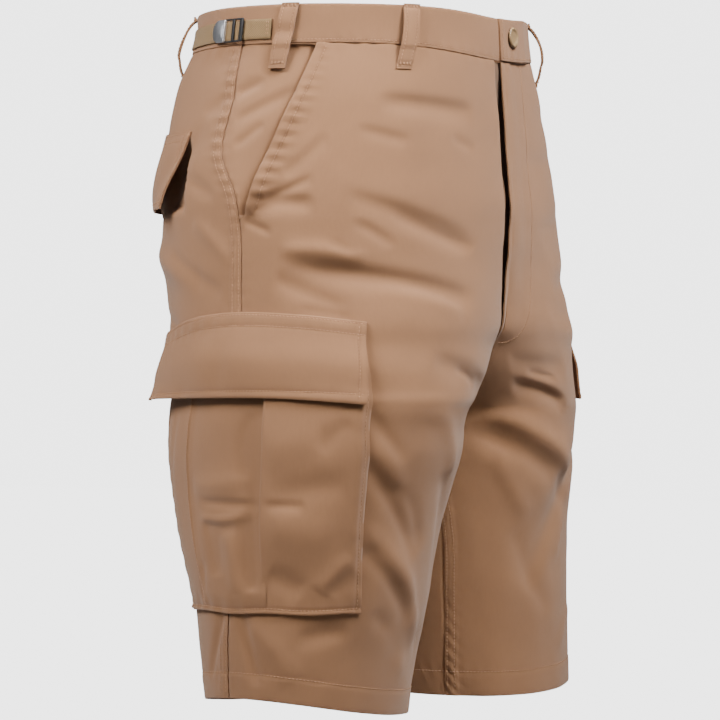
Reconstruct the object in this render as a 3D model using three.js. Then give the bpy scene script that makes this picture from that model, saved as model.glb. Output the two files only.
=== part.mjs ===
// Cargo shorts in their worn shape, hollow and open at the waist and hems.
// Millimetres, +Z up, the front toward -Y and the wearer's left toward +X.
// The origin is the middle of the waist, at half the waistband's height.

import * as THREE from "three";

// Cloth
const clothWall = 1.2;
const doubledWall = 2.4;
const flapWall = 1.8;
const webbingWall = 1.4;
const seamGap = 0.3;
const layerGap = 0.5;

// Heights of the main lines
const bandTop = 17;
const bandSeam = -17;
const slantEnd = -168;
const lapEnd = -262;
const lapSeamed = -275;
const crotch = -331;
const hemStart = -545;
const hemStitch = -568;
const hemEdge = -590;

// Fly and waistband ends, as distances from the middle plane
const lapOver = 6;
const lapRise = 1.8;
const shieldEdge = 11.5;
const shieldEdgeLow = 7.5;
const shieldTurnsIn = -190;
const flyStops = [-12, -4, 4, 11, 18];
const flyStripDrop = 1;
const bandOut = 0.8;
const bandLapRise = 2.8;
const bandLapOver = 7;
const bandUnder = 35;

// The waistband dips at the centre front: how deep, and how wide in degrees each way.
const bandDips = { top: { deep: 5, wide: 20 }, seam: { deep: 8.5, wide: 28 } };

// Degrees past the centre front over which the upper end of the waistband comes down
const bandLapEnds = { from: 14, to: 24 };

// Small parts
const loopWidth = 15;
const loopHeight = 56;
const loopBelowTop = 0.5;
const loopClearance = 0.4;
const strapWidth = 17.5;
const strapHeight = -4.5;
const buttonRadius = 9;
const buttonHeight = 2.6;
const buttonSpot = { turn: 94.6, z: -3.5, above: 0.6 };
const buckleLength = 36;
const buckleWidth = 21;
const buckleThick = 1.6;
const buckleAbove = 0.4;

const right = -1;
const left = 1;
const degree = Math.PI / 180;
const fullTurn = 2 * Math.PI;

// Each half follows the oval of its leg, cut off by the middle plane above the crotch:
// the oval's centre from that plane, its half width, its depth to the front and to the
// back, how far each leg is shifted backward, and how square it is.
const sections = [
  { z: 17, centre: 0, wide: 172, front: 140, back: 142, right: 0, left: 0, square: 0 },
  { z: -18, centre: 0, wide: 177, front: 141.5, back: 144, right: 0, left: 0, square: 0.012 },
  { z: -45, centre: 0, wide: 186, front: 144, back: 149, right: 0, left: 0, square: 0.03 },
  { z: -72, centre: 0, wide: 194, front: 146, back: 152, right: 0, left: 0, square: 0.04 },
  { z: -100, centre: 1, wide: 201, front: 148, back: 154, right: 0, left: 0, square: 0.042 },
  { z: -126, centre: 4, wide: 204, front: 150, back: 157, right: 0, left: 0, square: 0.042 },
  { z: -153, centre: 10, wide: 202, front: 151.5, back: 157.5, right: -1, left: -1, square: 0.042 },
  { z: -180, centre: 22, wide: 191, front: 150, back: 152.5, right: -2, left: -2, square: 0.04 },
  { z: -208, centre: 40, wide: 174, front: 148, back: 145, right: -3, left: -3, square: 0.035 },
  { z: -235, centre: 58, wide: 157, front: 148, back: 139, right: -5, left: -5, square: 0.03 },
  { z: -262, centre: 70, wide: 147, front: 147, back: 135.5, right: -8, left: -8, square: 0.025 },
  { z: -275, centre: 77, wide: 140, front: 144, back: 135, right: -10, left: -9, square: 0.02 },
  { z: -300, centre: 90, wide: 127.5, front: 139, back: 134, right: -17, left: -12, square: 0.015 },
  { z: -315, centre: 99, wide: 118, front: 136, back: 132.5, right: -20, left: -14, square: 0.01 },
  { z: -324, centre: 105, wide: 112.5, front: 134, back: 132, right: -22, left: -15, square: 0.01 },
  { z: -331, centre: 109, wide: 109, front: 132, back: 131, right: -22, left: -16, square: 0.01 },
  { z: -345, centre: 110.5, wide: 109, front: 129, back: 129, right: -21, left: -17, square: 0.01 },
  { z: -370, centre: 112, wide: 108.5, front: 126, back: 127, right: -20, left: -20, square: 0.01 },
  { z: -400, centre: 113, wide: 107.5, front: 119, back: 120, right: -18, left: -22, square: 0.01 },
  { z: -430, centre: 114.5, wide: 106.5, front: 112, back: 112.5, right: -17, left: -24, square: 0.01 },
  { z: -465, centre: 116.5, wide: 104.5, front: 105.5, back: 105.5, right: -17, left: -28, square: 0.01 },
  { z: -500, centre: 118.5, wide: 102.5, front: 99.5, back: 99.5, right: -17, left: -33, square: 0.01 },
  { z: -545, centre: 121, wide: 99.5, front: 91.5, back: 91, right: -15, left: -40, square: 0.01 },
  { z: -600, centre: 123.5, wide: 96, front: 85, back: 81, right: -14, left: -47, square: 0.01 },
];

// Lines down the cloth: the turn round the half in degrees, from its inner side
// (0) through the front (90) and the outer side (180) to the back (270).
const sideSeam = [
  { z: 20, turn: 185.4 },
  { z: -18, turn: 187.6 },
  { z: -70, turn: 187.4 },
  { z: -111, turn: 188.2 },
  { z: -148, turn: 181.8 },
  { z: -187, turn: 179.6 },
  { z: -241, turn: 180.4 },
  { z: -510, turn: 194 },
  { z: -600, turn: 194 },
];
const slantEdge = [
  { z: -10, turn: 158.5 },
  { z: -41, turn: 161.5 },
  { z: -84, turn: 166.6 },
  { z: -125, turn: 172.3 },
  { z: -154, turn: 176.3 },
  { z: -170, turn: 178.6 },
];
const inseam = [
  { z: -331, turn: 0 },
  { z: -345, turn: 8 },
  { z: -375, turn: 17 },
  { z: -410, turn: 23 },
  { z: -444, turn: 25 },
  { z: -504, turn: 22 },
  { z: -567, turn: 17 },
  { z: -600, turn: 15 },
];

// Hems: a level, the tilt and the turn it rises toward, and a wave twice round.
const hems = {
  [right]: { level: -588, tilt: 8, toward: 200, wave: 3.5 },
  [left]: { level: -585.5, tilt: 7, toward: 195, wave: 2 },
};

// Largest folds: each runs from one turn and height to another, bows sideways
// at its middle, and lifts the cloth, or sinks it when lift is negative.
const folds = [
  { side: right, fromTurn: 164, fromZ: -212, toTurn: 96, toZ: -238, bow: 4, lift: -2.6, wide: 11 },
  { side: right, fromTurn: 146, fromZ: -150, toTurn: 102, toZ: -192, bow: 2, lift: -1.6, wide: 10 },
  { side: right, fromTurn: 168, fromZ: -220, toTurn: 144, toZ: -246, bow: 0, lift: -1.2, wide: 9 },
  { side: right, fromTurn: 176, fromZ: -158, toTurn: 155, toZ: -156, bow: 2, lift: -1.8, wide: 8 },
  { side: right, fromTurn: 138, fromZ: -68, toTurn: 106, toZ: -74, bow: 1, lift: -1.6, wide: 9 },
  { side: right, fromTurn: 134, fromZ: -340, toTurn: 72, toZ: -486, bow: 14, lift: -2.8, wide: 15 },
  { side: right, fromTurn: 122, fromZ: -452, toTurn: 76, toZ: -532, bow: 6, lift: 2.2, wide: 13 },
  { side: right, fromTurn: 112, fromZ: -290, toTurn: 62, toZ: -318, bow: 3, lift: -2.2, wide: 11 },
  { side: right, fromTurn: 60, fromZ: -346, toTurn: 40, toZ: -470, bow: 6, lift: 2, wide: 16 },
  { side: right, fromTurn: 196, fromZ: -84, toTurn: 250, toZ: -196, bow: 10, lift: -1.8, wide: 15 },
  { side: right, fromTurn: 258, fromZ: -186, toTurn: 200, toZ: -222, bow: 4, lift: 2, wide: 14 },
  { side: right, fromTurn: 318, fromZ: -318, toTurn: 262, toZ: -386, bow: 8, lift: -3, wide: 15 },
  { side: right, fromTurn: 322, fromZ: -380, toTurn: 268, toZ: -488, bow: 8, lift: 2.4, wide: 17 },
  { side: left, fromTurn: 60, fromZ: -312, toTurn: 92, toZ: -329, bow: -3, lift: -2.6, wide: 9 },
  { side: left, fromTurn: 42, fromZ: -332, toTurn: 104, toZ: -394, bow: -4, lift: 2.8, wide: 12 },
  { side: left, fromTurn: 36, fromZ: -352, toTurn: 86, toZ: -396, bow: -3, lift: -1.8, wide: 12 },
  { side: left, fromTurn: 62, fromZ: -292, toTurn: 104, toZ: -292, bow: 2, lift: -1.8, wide: 12 },
  { side: left, fromTurn: 160, fromZ: -206, toTurn: 100, toZ: -230, bow: 4, lift: -2.2, wide: 12 },
  { side: left, fromTurn: 176, fromZ: -160, toTurn: 152, toZ: -152, bow: 2, lift: -1.6, wide: 8 },
  { side: left, fromTurn: 130, fromZ: -352, toTurn: 66, toZ: -500, bow: 12, lift: -2.2, wide: 15 },
  { side: left, fromTurn: 200, fromZ: -88, toTurn: 248, toZ: -190, bow: 8, lift: -1.8, wide: 15 },
  { side: left, fromTurn: 262, fromZ: -194, toTurn: 204, toZ: -220, bow: 4, lift: 1.8, wide: 14 },
  { side: left, fromTurn: 314, fromZ: -322, toTurn: 264, toZ: -398, bow: 8, lift: -2.8, wide: 16 },
  { side: left, fromTurn: 318, fromZ: -392, toTurn: 272, toZ: -500, bow: 8, lift: 2.2, wide: 17 },
];

// Belt loops: the turn of the middle at the top and bottom, and how far they bulge.
const loops = [
  { name: "front_right", side: right, top: 128.6, bottom: 130.9, bulge: 2.6 },
  { name: "side_right", side: right, top: 169, bottom: 171.9, bulge: 2 },
  { name: "back_right", side: right, top: 236, bottom: 239, bulge: 2.7 },
  { name: "front_left", side: left, top: 129.5, bottom: 131, bulge: 2.7 },
  { name: "side_left", side: left, top: 169.5, bottom: 171.5, bulge: 2.2 },
  { name: "back_left", side: left, top: 236.5, bottom: 239.5, bulge: 2.6 },
  { name: "centre_back", side: left, top: 270, bottom: 270, bulge: 2.7 },
];

// Cargo pocket: the turns of its edges and pleat folds at its top and bottom, and how
// far the rear fold bows. The left leg's pocket and flap lie turned from these.
const pocket = { top: -262, underFlap: 10, bottom: -504, front: [139, 124.5], rear: [243, 238] };
const pleat = { front: [176.6, 172], rear: [205, 208], bow: 7 };
const pocketTurned = {
  [right]: { top: 0, bottom: 0, flap: 0 },
  [left]: { top: -6, bottom: 12.5, flap: -5.5 },
};
const pocketStops = [
  { part: "front", share: 0, shift: 0, raised: 0 },
  { part: "front", share: 0, shift: 9, raised: 1 },
  { part: "front", share: 0.3, shift: 0, raised: 1.1 },
  { part: "front", share: 0.5, shift: 0, raised: 1.15 },
  { part: "front", share: 0.7, shift: 0, raised: 1.1 },
  { part: "front", share: 1, shift: -11, raised: 1.05 },
  { part: "front", share: 1, shift: -1.2, raised: 1 },
  { part: "underlay", share: 0, shift: 1.2, raised: -1 },
  { part: "underlay", share: 0.25, shift: 0, raised: -0.7 },
  { part: "underlay", share: 0.5, shift: 0, raised: -0.3 },
  { part: "underlay", share: 0.75, shift: 0, raised: -0.8 },
  { part: "underlay", share: 1, shift: -1.2, raised: -1 },
  { part: "rear", share: 0, shift: 1.2, raised: 1 },
  { part: "rear", share: 0, shift: 11, raised: 1.05 },
  { part: "rear", share: 0.35, shift: 0, raised: 1.1 },
  { part: "rear", share: 0.65, shift: 0, raised: 1.1 },
  { part: "rear", share: 1, shift: -9, raised: 1 },
  { part: "rear", share: 1, shift: 0, raised: 0 },
];
const pocketOut = { edge: 2, underlay: 2.1, top: 2.6, full: 5.4, puff: 2.4 };

// Shares of the pocket's height: its second row, where it is full and where it is sewn
const pocketShares = { second: 0.04, full: 0.3, sewn: 0.94 };

// Flaps: their ends as turns, and how far they rise over a pocket, stand off below
// and lift at a corner.
const cargoFlap = { front: 138.2, rear: 244, over: 4.6, flare: 3, corner: 14, cornerFrom: 0.62 };
const frontCorner = { [right]: 0, [left]: 2.5 };
const cargoFlapTop = [
  { turn: 138, z: -257 },
  { turn: 159, z: -251 },
  { turn: 181, z: -248.5 },
  { turn: 197, z: -251 },
  { turn: 225, z: -263 },
  { turn: 246, z: -268 },
];
const cargoFlapBottom = [
  { turn: 138, z: -327 },
  { turn: 176, z: -322 },
  { turn: 205, z: -322 },
  { turn: 246, z: -326 },
];
const backFlap = { front: 204.5, rear: 249, top: -91, bottom: -158, frontFlare: 8, rearFlare: 2.5 };
const adjuster = { front: 175.7, frontEnd: 192.5, rearEnd: 196.5, rear: 231, buckle: 194.5 };

const buckleSlots = [
  { at: -13, half: 1.8, rim: 2.6 },
  { at: -6, half: 1.8, rim: 3.2 },
];

// Slanted openings: how far a front panel's edge stands off, how many degrees inside
// it that begins, the height where it closes, and how far the side panel lies under it.
const slantOpening = { lift: 1.2, within: 12, closes: -130, under: 7 };

// Columns and rows of the pieces. A front's second column lies near its inner edge,
// at a distance from the middle plane or at a share of the leg.
const frontColumns = 15;
const secondColumn = { [right]: 20, [left]: 8, leg: 0.08 };
const lapColumns = 3;
const backColumns = 15;
const sidePanelColumns = 5;
const bandGrid = { columns: 26, rows: 2 };
const loopGrid = { columns: 2, rows: 10 };
const pocketRows = 14;
const cargoFlapGrid = { columns: 13, rows: 5 };
const backFlapGrid = { columns: 6, rows: 4 };
const webbingStep = 5;
const buttonSides = 28;
const levels = [
  bandSeam, -36, -54, -72, -92, -112, -132, -150, slantEnd, -183, -198, -212, -226, -244,
  lapEnd, lapSeamed, -288, -300, -311, -319, -325, crotch, -345, -362, -380, -400, -425,
  -452, -480, -512, hemStart, hemStitch, hemStitch - 2, hemEdge,
];

const materials = {
  twill: new THREE.MeshStandardMaterial({ color: 0xa8876b, roughness: 0.92, metalness: 0 }),
  twillDark: new THREE.MeshStandardMaterial({ color: 0x8f7058, roughness: 0.92, metalness: 0 }),
  webbing: new THREE.MeshStandardMaterial({ color: 0x8a7350, roughness: 0.88, metalness: 0 }),
  button: new THREE.MeshStandardMaterial({ color: 0xa58a63, roughness: 0.5, metalness: 0 }),
  steel: new THREE.MeshStandardMaterial({ color: 0xb8bcc0, roughness: 0.3, metalness: 1 }),
};

function lerp(from, to, share) {
  return from + (to - from) * share;
}

function smooth(from, to, value) {
  const share = Math.min(1, Math.max(0, (value - from) / (to - from)));
  return share * share * (3 - 2 * share);
}

// The slope of a table's column at a row: a mean of the slopes beside it, weighted
// toward the nearer row.
function slopeAt(table, column, key, row) {
  const last = table.length - 1;
  const step = (i) => table[i + 1][key] - table[i][key];
  const rise = (i) => (table[i + 1][column] - table[i][column]) / step(i);
  if (row === 0) {
    return rise(0);
  }
  if (row === last) {
    return rise(last - 1);
  }
  const before = step(row - 1);
  const after = step(row);
  return (rise(row - 1) * after + rise(row) * before) / (before + after);
}

// A smooth curve through a table's column, over the rows' heights or another key.
function along(table, column, value, key = "z") {
  const order = Math.sign(table[1][key] - table[0][key]);
  let row = 0;
  while (row < table.length - 2 && (value - table[row + 1][key]) * order > 0) {
    row += 1;
  }
  const start = table[row];
  const end = table[row + 1];
  const span = end[key] - start[key];
  const t = Math.min(1, Math.max(0, (value - start[key]) / span));
  const startSlope = slopeAt(table, column, key, row) * span;
  const endSlope = slopeAt(table, column, key, row + 1) * span;
  const held = (2 * t - 3) * t * t + 1;
  const leaving = ((t - 2) * t + 1) * t;
  const arriving = (t - 1) * t * t;
  return held * start[column] + (1 - held) * end[column] + leaving * startSlope + arriving * endSlope;
}

function squareness(z, turn) {
  return 1 + along(sections, "square", z) * Math.sin(2 * turn) ** 2;
}

// The turn, in radians, at which the front of a half is a distance from the middle plane.
function frontTurn(z, distance) {
  const centre = along(sections, "centre", z);
  const wide = along(sections, "wide", z);
  let turn = Math.PI / 2;
  for (let pass = 0; pass < 6; pass += 1) {
    const share = (centre - Math.abs(distance)) / (wide * squareness(z, turn));
    turn = Math.acos(Math.min(1, Math.max(-1, share)));
  }
  return turn;
}

function edgeTurn(z) {
  return z > crotch ? frontTurn(z, 0) : 0;
}

function backTurn(z, distance) {
  return fullTurn - frontTurn(z, distance);
}

// As frontTurn, past the middle plane too, where the distance is negative.
function lappedTurn(z, distance) {
  const turn = frontTurn(z, distance);
  return distance < 0 ? 2 * edgeTurn(z) - turn : turn;
}

function oval(side, turn, z) {
  const grown = squareness(z, turn);
  const depth = Math.sin(turn) > 0 ? along(sections, "front", z) : along(sections, "back", z);
  const shift = along(sections, side === right ? "right" : "left", z);
  const x = along(sections, "centre", z) - along(sections, "wide", z) * grown * Math.cos(turn);
  return new THREE.Vector3(side * x, shift - depth * grown * Math.sin(turn), z);
}

function outward(side, turn, z) {
  const round = oval(side, turn + 0.01, z).sub(oval(side, turn - 0.01, z));
  const up = oval(side, turn, z + 2).sub(oval(side, turn, z - 2));
  return round.cross(up).multiplyScalar(side).normalize();
}

// How far the folds lift the cloth, on a flat map of the half round the fold.
function foldLift(side, turn, z) {
  let lift = 0;
  for (const fold of folds) {
    if (fold.side !== side) {
      continue;
    }
    const middle = (fold.fromZ + fold.toZ) / 2;
    const radius = (along(sections, "wide", middle) + along(sections, "front", middle)) / 2;
    const run = new THREE.Vector2((fold.toTurn - fold.fromTurn) * degree * radius, fold.toZ - fold.fromZ);
    const to = new THREE.Vector2((turn - fold.fromTurn * degree) * radius, z - fold.fromZ);
    const share = to.dot(run) / run.lengthSq();
    if (share <= 0 || share >= 1) {
      continue;
    }
    const bow = 4 * fold.bow * share * (1 - share);
    const aside = to.cross(run) / run.length() - bow;
    const fade = 1 - (2 * share - 1) ** 4;
    lift += fold.lift * fade * Math.exp(-((aside / fold.wide) ** 2));
  }
  return lift;
}

// A point of the cloth, moved out from the folded surface. Past the middle plane
// it lies on the other half.
function place(side, turn, z, out) {
  const edge = edgeTurn(z);
  if (edge > 0 && turn < edge) {
    return place(-side, 2 * edge - turn, z, out);
  }
  if (edge > 0 && turn > fullTurn - edge) {
    return place(-side, 2 * (fullTurn - edge) - turn, z, out);
  }
  const lifted = out + foldLift(side, turn, z);
  const point = oval(side, turn, z).addScaledVector(outward(side, turn, z), lifted);
  point.x = side * Math.max(side * point.x, seamGap / 2);
  return point;
}

// The turn that lies some millimetres round the surface from another.
function turnBeside(side, turn, z, distance) {
  const step = 0.01;
  const length = oval(side, turn + step, z).distanceTo(oval(side, turn, z));
  return turn + (distance * step) / length;
}

function dipAt(dip, turn) {
  return dip.deep * Math.exp(-(((turn / degree - 90) / dip.wide) ** 2));
}

function bandTopAt(turn) {
  return bandTop - dipAt(bandDips.top, turn);
}

function bandSeamAt(turn) {
  return bandSeam - dipAt(bandDips.seam, turn);
}

function hemAt(side, turn) {
  const hem = hems[side];
  return hem.level + hem.tilt * Math.cos(turn - hem.toward * degree) + hem.wave * Math.cos(2 * turn);
}

// The height of a panel's level, which follows the band at the top and the hem at the bottom.
function levelAt(side, turn, level) {
  if (level === bandSeam) {
    return bandSeamAt(turn) - seamGap / 2;
  }
  if (level >= hemStart) {
    return level;
  }
  return lerp(hemStart, hemAt(side, turn), (level - hemStart) / (hemEdge - hemStart));
}

// A closed wall of cloth: a grid of outer points, one of inner points and the rim.
// at(column, row) gives the turn, height, outer distance and thickness.
function addWall(group, name, finish, side, columns, rows, at) {
  const positions = [];
  const layer = (columns + 1) * (rows + 1);
  for (const inner of [0, 1]) {
    for (let row = 0; row <= rows; row += 1) {
      for (let column = 0; column <= columns; column += 1) {
        const spot = at(column, row);
        const point = place(side, spot.turn, spot.z, spot.out - inner * spot.thick);
        positions.push(point.x, point.y, point.z);
      }
    }
  }
  const triangles = [];
  const quad = (a, b, c, d) => triangles.push(a, b, c, a, c, d);
  const index = (column, row) => row * (columns + 1) + column;
  for (let row = 0; row < rows; row += 1) {
    for (let column = 0; column < columns; column += 1) {
      const a = index(column, row);
      const b = index(column + 1, row);
      const c = index(column + 1, row + 1);
      const d = index(column, row + 1);
      quad(a, d, c, b);
      quad(a + layer, b + layer, c + layer, d + layer);
    }
  }
  const rim = [];
  for (let column = 0; column < columns; column += 1) {
    rim.push(index(column, 0));
  }
  for (let row = 0; row < rows; row += 1) {
    rim.push(index(columns, row));
  }
  for (let column = columns; column > 0; column -= 1) {
    rim.push(index(column, rows));
  }
  for (let row = rows; row > 0; row -= 1) {
    rim.push(index(0, row));
  }
  rim.forEach((from, i) => {
    const to = rim[(i + 1) % rim.length];
    quad(from, to, to + layer, from + layer);
  });
  if (side === right) {
    triangles.reverse();
  }
  const geometry = new THREE.BufferGeometry();
  geometry.setAttribute("position", new THREE.Float32BufferAttribute(positions, 3));
  geometry.setIndex(triangles);
  geometry.computeVertexNormals();
  const mesh = new THREE.Mesh(geometry, finish);
  mesh.name = name;
  group.add(mesh);
  return mesh;
}

function thickAt(level) {
  return level < hemStitch ? doubledWall : clothWall;
}

function seamTurn(table, z, away) {
  return along(table, "turn", z) * degree + away;
}

// The turn of a panel's edge at its inner side, in front.
function frontInner(side, level) {
  const gapTurn = seamGap / 2 / along(sections, "wide", level);
  if (level <= crotch) {
    return seamTurn(inseam, level, gapTurn);
  }
  if (level <= lapSeamed) {
    return frontTurn(level, seamGap / 2);
  }
  if (side === left) {
    return lappedTurn(level, -lapOver);
  }
  return frontTurn(level, lerp(shieldEdge, shieldEdgeLow, smooth(shieldTurnsIn, lapEnd, level)));
}

function frontOuter(level) {
  const gapTurn = seamGap / 2 / along(sections, "wide", level);
  return level >= slantEnd ? seamTurn(slantEdge, level, 0) : seamTurn(sideSeam, level, -gapTurn);
}

// Front panels. The left one laps over the fly; both stand off at the slanted openings.
function addFront(group, name, side) {
  addWall(group, name, materials.twill, side, frontColumns, levels.length - 1, (column, row) => {
    const level = levels[row];
    const inner = frontInner(side, level);
    const outer = frontOuter(level);
    const onLeg = lerp(inner, outer, secondColumn.leg);
    const second = level > crotch ? frontTurn(level, secondColumn[side]) : onLeg;
    const turn = column === 0 ? inner : lerp(second, outer, (column - 1) / (frontColumns - 1));
    const z = levelAt(side, turn, level);
    const laps = side === left && level > lapSeamed ? lapRise : 0;
    const lapShare = 1 - smooth(0, lapColumns, column);
    const nearEdge = smooth(-slantOpening.within, 0, (turn - outer) / degree);
    const opening = slantOpening.lift * nearEdge * smooth(slantEnd, slantOpening.closes, level);
    return { turn, z, out: laps * lapShare + opening, thick: thickAt(level) };
  });
}

// Side panels fill the slanted openings and lie under the front panels' edges.
function addSidePanel(group, name, side) {
  const rows = levels.indexOf(slantEnd);
  const visible = sidePanelColumns - 1;
  addWall(group, name, materials.twill, side, sidePanelColumns, rows, (column, row) => {
    const level = levels[row];
    const opening = seamTurn(slantEdge, level, 0);
    const seam = seamTurn(sideSeam, level, -seamGap / 2 / along(sections, "wide", level));
    const under = opening - slantOpening.under * degree;
    const turn = column < 2 ? lerp(under, opening, column) : lerp(opening, seam, (column - 1) / visible);
    const out = -(clothWall + layerGap) * (1 - smooth(opening, seam, turn));
    return { turn, z: levelAt(side, turn, level), out, thick: clothWall };
  });
}

function addBack(group, name, side) {
  addWall(group, name, materials.twill, side, backColumns, levels.length - 1, (column, row) => {
    const level = levels[row];
    const gapTurn = seamGap / 2 / along(sections, "wide", level);
    const outer = seamTurn(sideSeam, level, gapTurn);
    const inner = level > crotch ? backTurn(level, seamGap / 2) : seamTurn(inseam, level, fullTurn - gapTurn);
    const turn = lerp(outer, inner, column / backColumns);
    return { turn, z: levelAt(side, turn, level), out: 0, thick: thickAt(level) };
  });
}

// Waistband halves. The left end laps over the right one.
function addBand(group, name, side) {
  const { columns, rows } = bandGrid;
  addWall(group, name, materials.twill, side, columns, rows, (column, row) => {
    const z = 0;
    const lapped = lappedTurn(z, side === left ? -bandLapOver : -bandUnder);
    const turn = lerp(lapped, backTurn(z, seamGap / 2), column / columns);
    const height = lerp(bandTopAt(turn), bandSeamAt(turn) + seamGap / 2, row / rows);
    const past = turn / degree - 90;
    const upper = 1 - smooth(bandLapEnds.from, bandLapEnds.to, past);
    const rise = side === left ? bandLapRise * upper : 0;
    return { turn, z: height, out: bandOut + rise, thick: doubledWall };
  });
}

// The second ply of the fly, under the right front and the left lap.
function addFlyStrip(group) {
  const heights = levels.filter((level) => level >= lapEnd);
  const columns = flyStops.length - 1;
  addWall(group, "fly_strip", materials.twillDark, right, columns, heights.length - 1, (column, row) => {
    const level = heights[row];
    const turn = lappedTurn(level, flyStops[column]);
    const z = levelAt(right, turn, level) - (row === 0 ? flyStripDrop : 0);
    return { turn, z, out: -(clothWall + layerGap), thick: clothWall };
  });
}

function addLoop(group, loop) {
  const { columns, rows } = loopGrid;
  const base = loop.name === "centre_back" ? backTurn(0, 0) : 0;
  const belowBand = bandSeam - 8;
  addWall(group, `belt_loop_${loop.name}`, materials.twill, loop.side, columns, rows, (column, row) => {
    const share = row / rows;
    const z = lerp(bandTop - loopBelowTop, bandTop - loopHeight, share);
    const middle = base || lerp(loop.top, loop.bottom, share) * degree;
    const turn = turnBeside(loop.side, middle, z, (column / columns - 0.5) * loopWidth);
    const overBand = (bandOut + loopClearance) * smooth(belowBand, bandSeam - 2, z);
    const bulge = loop.bulge * Math.sin(Math.PI * share) ** 0.8;
    return { turn, z, out: layerGap + overBand + bulge + flapWall, thick: flapWall };
  });
}

// Cargo pockets with an open inverted box pleat between two raised parts.
function addCargoPocket(group, name, side) {
  const rows = pocketRows;
  addWall(group, name, materials.twill, side, pocketStops.length - 1, rows, (column, row) => {
    const share = row === 0 ? 0 : lerp(pocketShares.second, 1, (row - 1) / (rows - 1));
    const stop = pocketStops[column];
    const front = lerp(pocket.front[0], pocket.front[1], share);
    const rear = lerp(pocket.rear[0], pocket.rear[1], share);
    const foldFront = lerp(pleat.front[0], pleat.front[1], share);
    const straight = lerp(pleat.rear[0], pleat.rear[1], share);
    const foldRear = straight + 4 * share * (1 - share) * pleat.bow;
    const parts = { front: [front, foldFront], underlay: [foldFront, foldRear], rear: [foldRear, rear] };
    const turned = lerp(pocketTurned[side].top, pocketTurned[side].bottom, share);
    const across = (lerp(parts[stop.part][0], parts[stop.part][1], stop.share) + turned) * degree;
    const turn = turnBeside(side, across, lerp(pocket.top, pocket.bottom, share), stop.shift);
    const under = turn / degree - pocketTurned[side].flap;
    const top = along(cargoFlapTop, "z", under, "turn") - pocket.underFlap;
    const z = lerp(top, pocket.bottom, share);
    const full = lerp(pocketOut.top, pocketOut.full, smooth(0, pocketShares.full, share));
    const loose = smooth(1, pocketShares.sewn, share);
    const high = lerp(pocketOut.edge, full, loose * Math.max(0, stop.raised));
    const puffed = pocketOut.underlay + pocketOut.puff * (1 + stop.raised) * loose;
    const low = lerp(pocketOut.edge, puffed, loose);
    const out = stop.raised < 0 ? low : high;
    return { turn, z, out, thick: clothWall };
  });
}

// Cargo flaps lie over the pocket's top and stand off at their lower edge.
function addCargoFlap(group, name, side) {
  const { columns, rows } = cargoFlapGrid;
  addWall(group, name, materials.twill, side, columns, rows, (column, row) => {
    const across = lerp(cargoFlap.front, cargoFlap.rear, column / columns);
    const top = along(cargoFlapTop, "z", across, "turn");
    const bottom = along(cargoFlapBottom, "z", across, "turn");
    const share = row / rows;
    const rearCorner = smooth(cargoFlap.cornerFrom, 1, column / columns) * cargoFlap.corner;
    const corner = rearCorner + smooth(1 - cargoFlap.cornerFrom, 0, column / columns) * frontCorner[side];
    const z = lerp(top, bottom, share);
    const over = cargoFlap.over * smooth(-0.1, 0.16, share) + cargoFlap.flare * share * share;
    const out = layerGap + flapWall + over + corner * share;
    return { turn: (across + pocketTurned[side].flap) * degree, z, out, thick: flapWall };
  });
}

function addBackFlap(group, name, side) {
  const { columns, rows } = backFlapGrid;
  addWall(group, name, materials.twill, side, columns, rows, (column, row) => {
    const across = column / columns;
    const share = row / rows;
    const turn = lerp(backFlap.front, backFlap.rear, across) * degree;
    const z = lerp(backFlap.top, backFlap.bottom, share);
    const flare = lerp(backFlap.frontFlare, backFlap.rearFlare, Math.sqrt(across));
    const out = layerGap + flapWall + share * flare;
    return { turn, z, out, thick: flapWall };
  });
}

// Webbing on the waistband, between two turns in degrees.
function addWebbing(group, name, side, from, to) {
  const columns = Math.max(4, Math.round((to - from) / webbingStep));
  addWall(group, name, materials.webbing, side, columns, 1, (column, row) => {
    const turn = lerp(from, to, column / columns) * degree;
    const z = strapHeight + (0.5 - row) * strapWidth;
    return { turn, z, out: bandOut + layerGap + webbingWall, thick: webbingWall };
  });
}

// Turns a mesh so that its +Z points out of the cloth and its +Y up, and places it there.
function mount(group, mesh, name, side, turn, z, out) {
  const normal = outward(side, turn, z);
  const across = new THREE.Vector3(0, 0, 1).cross(normal).normalize();
  const up = normal.clone().cross(across);
  mesh.quaternion.setFromRotationMatrix(new THREE.Matrix4().makeBasis(across, up, normal));
  mesh.position.copy(oval(side, turn, z).addScaledVector(normal, out));
  mesh.name = name;
  group.add(mesh);
}

// Ladder buckle: a frame with two slots for the webbing and a rounded plate behind them.
function addBuckle(group, name, side) {
  const half = buckleWidth / 2;
  const behind = -side;
  const end = (behind * buckleLength) / 2;
  const roundStart = end - behind * half;
  const shape = new THREE.Shape();
  shape.moveTo(-end, -half);
  shape.lineTo(roundStart, -half);
  shape.quadraticCurveTo(end, -half, end, 0);
  shape.quadraticCurveTo(end, half, roundStart, half);
  shape.lineTo(-end, half);
  for (const slot of buckleSlots) {
    const hole = new THREE.Path();
    const middle = behind * slot.at;
    const reach = half - slot.rim;
    hole.moveTo(middle - slot.half, -reach);
    hole.lineTo(middle + slot.half, -reach);
    hole.lineTo(middle + slot.half, reach);
    hole.lineTo(middle - slot.half, reach);
    shape.holes.push(hole);
  }
  const settings = { depth: buckleThick, bevelEnabled: false, curveSegments: 5 };
  const geometry = new THREE.ExtrudeGeometry(shape, settings);
  const mesh = new THREE.Mesh(geometry, materials.steel);
  const out = bandOut + layerGap + webbingWall + buckleAbove;
  mount(group, mesh, name, side, adjuster.buckle * degree, strapHeight, out);
}

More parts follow.
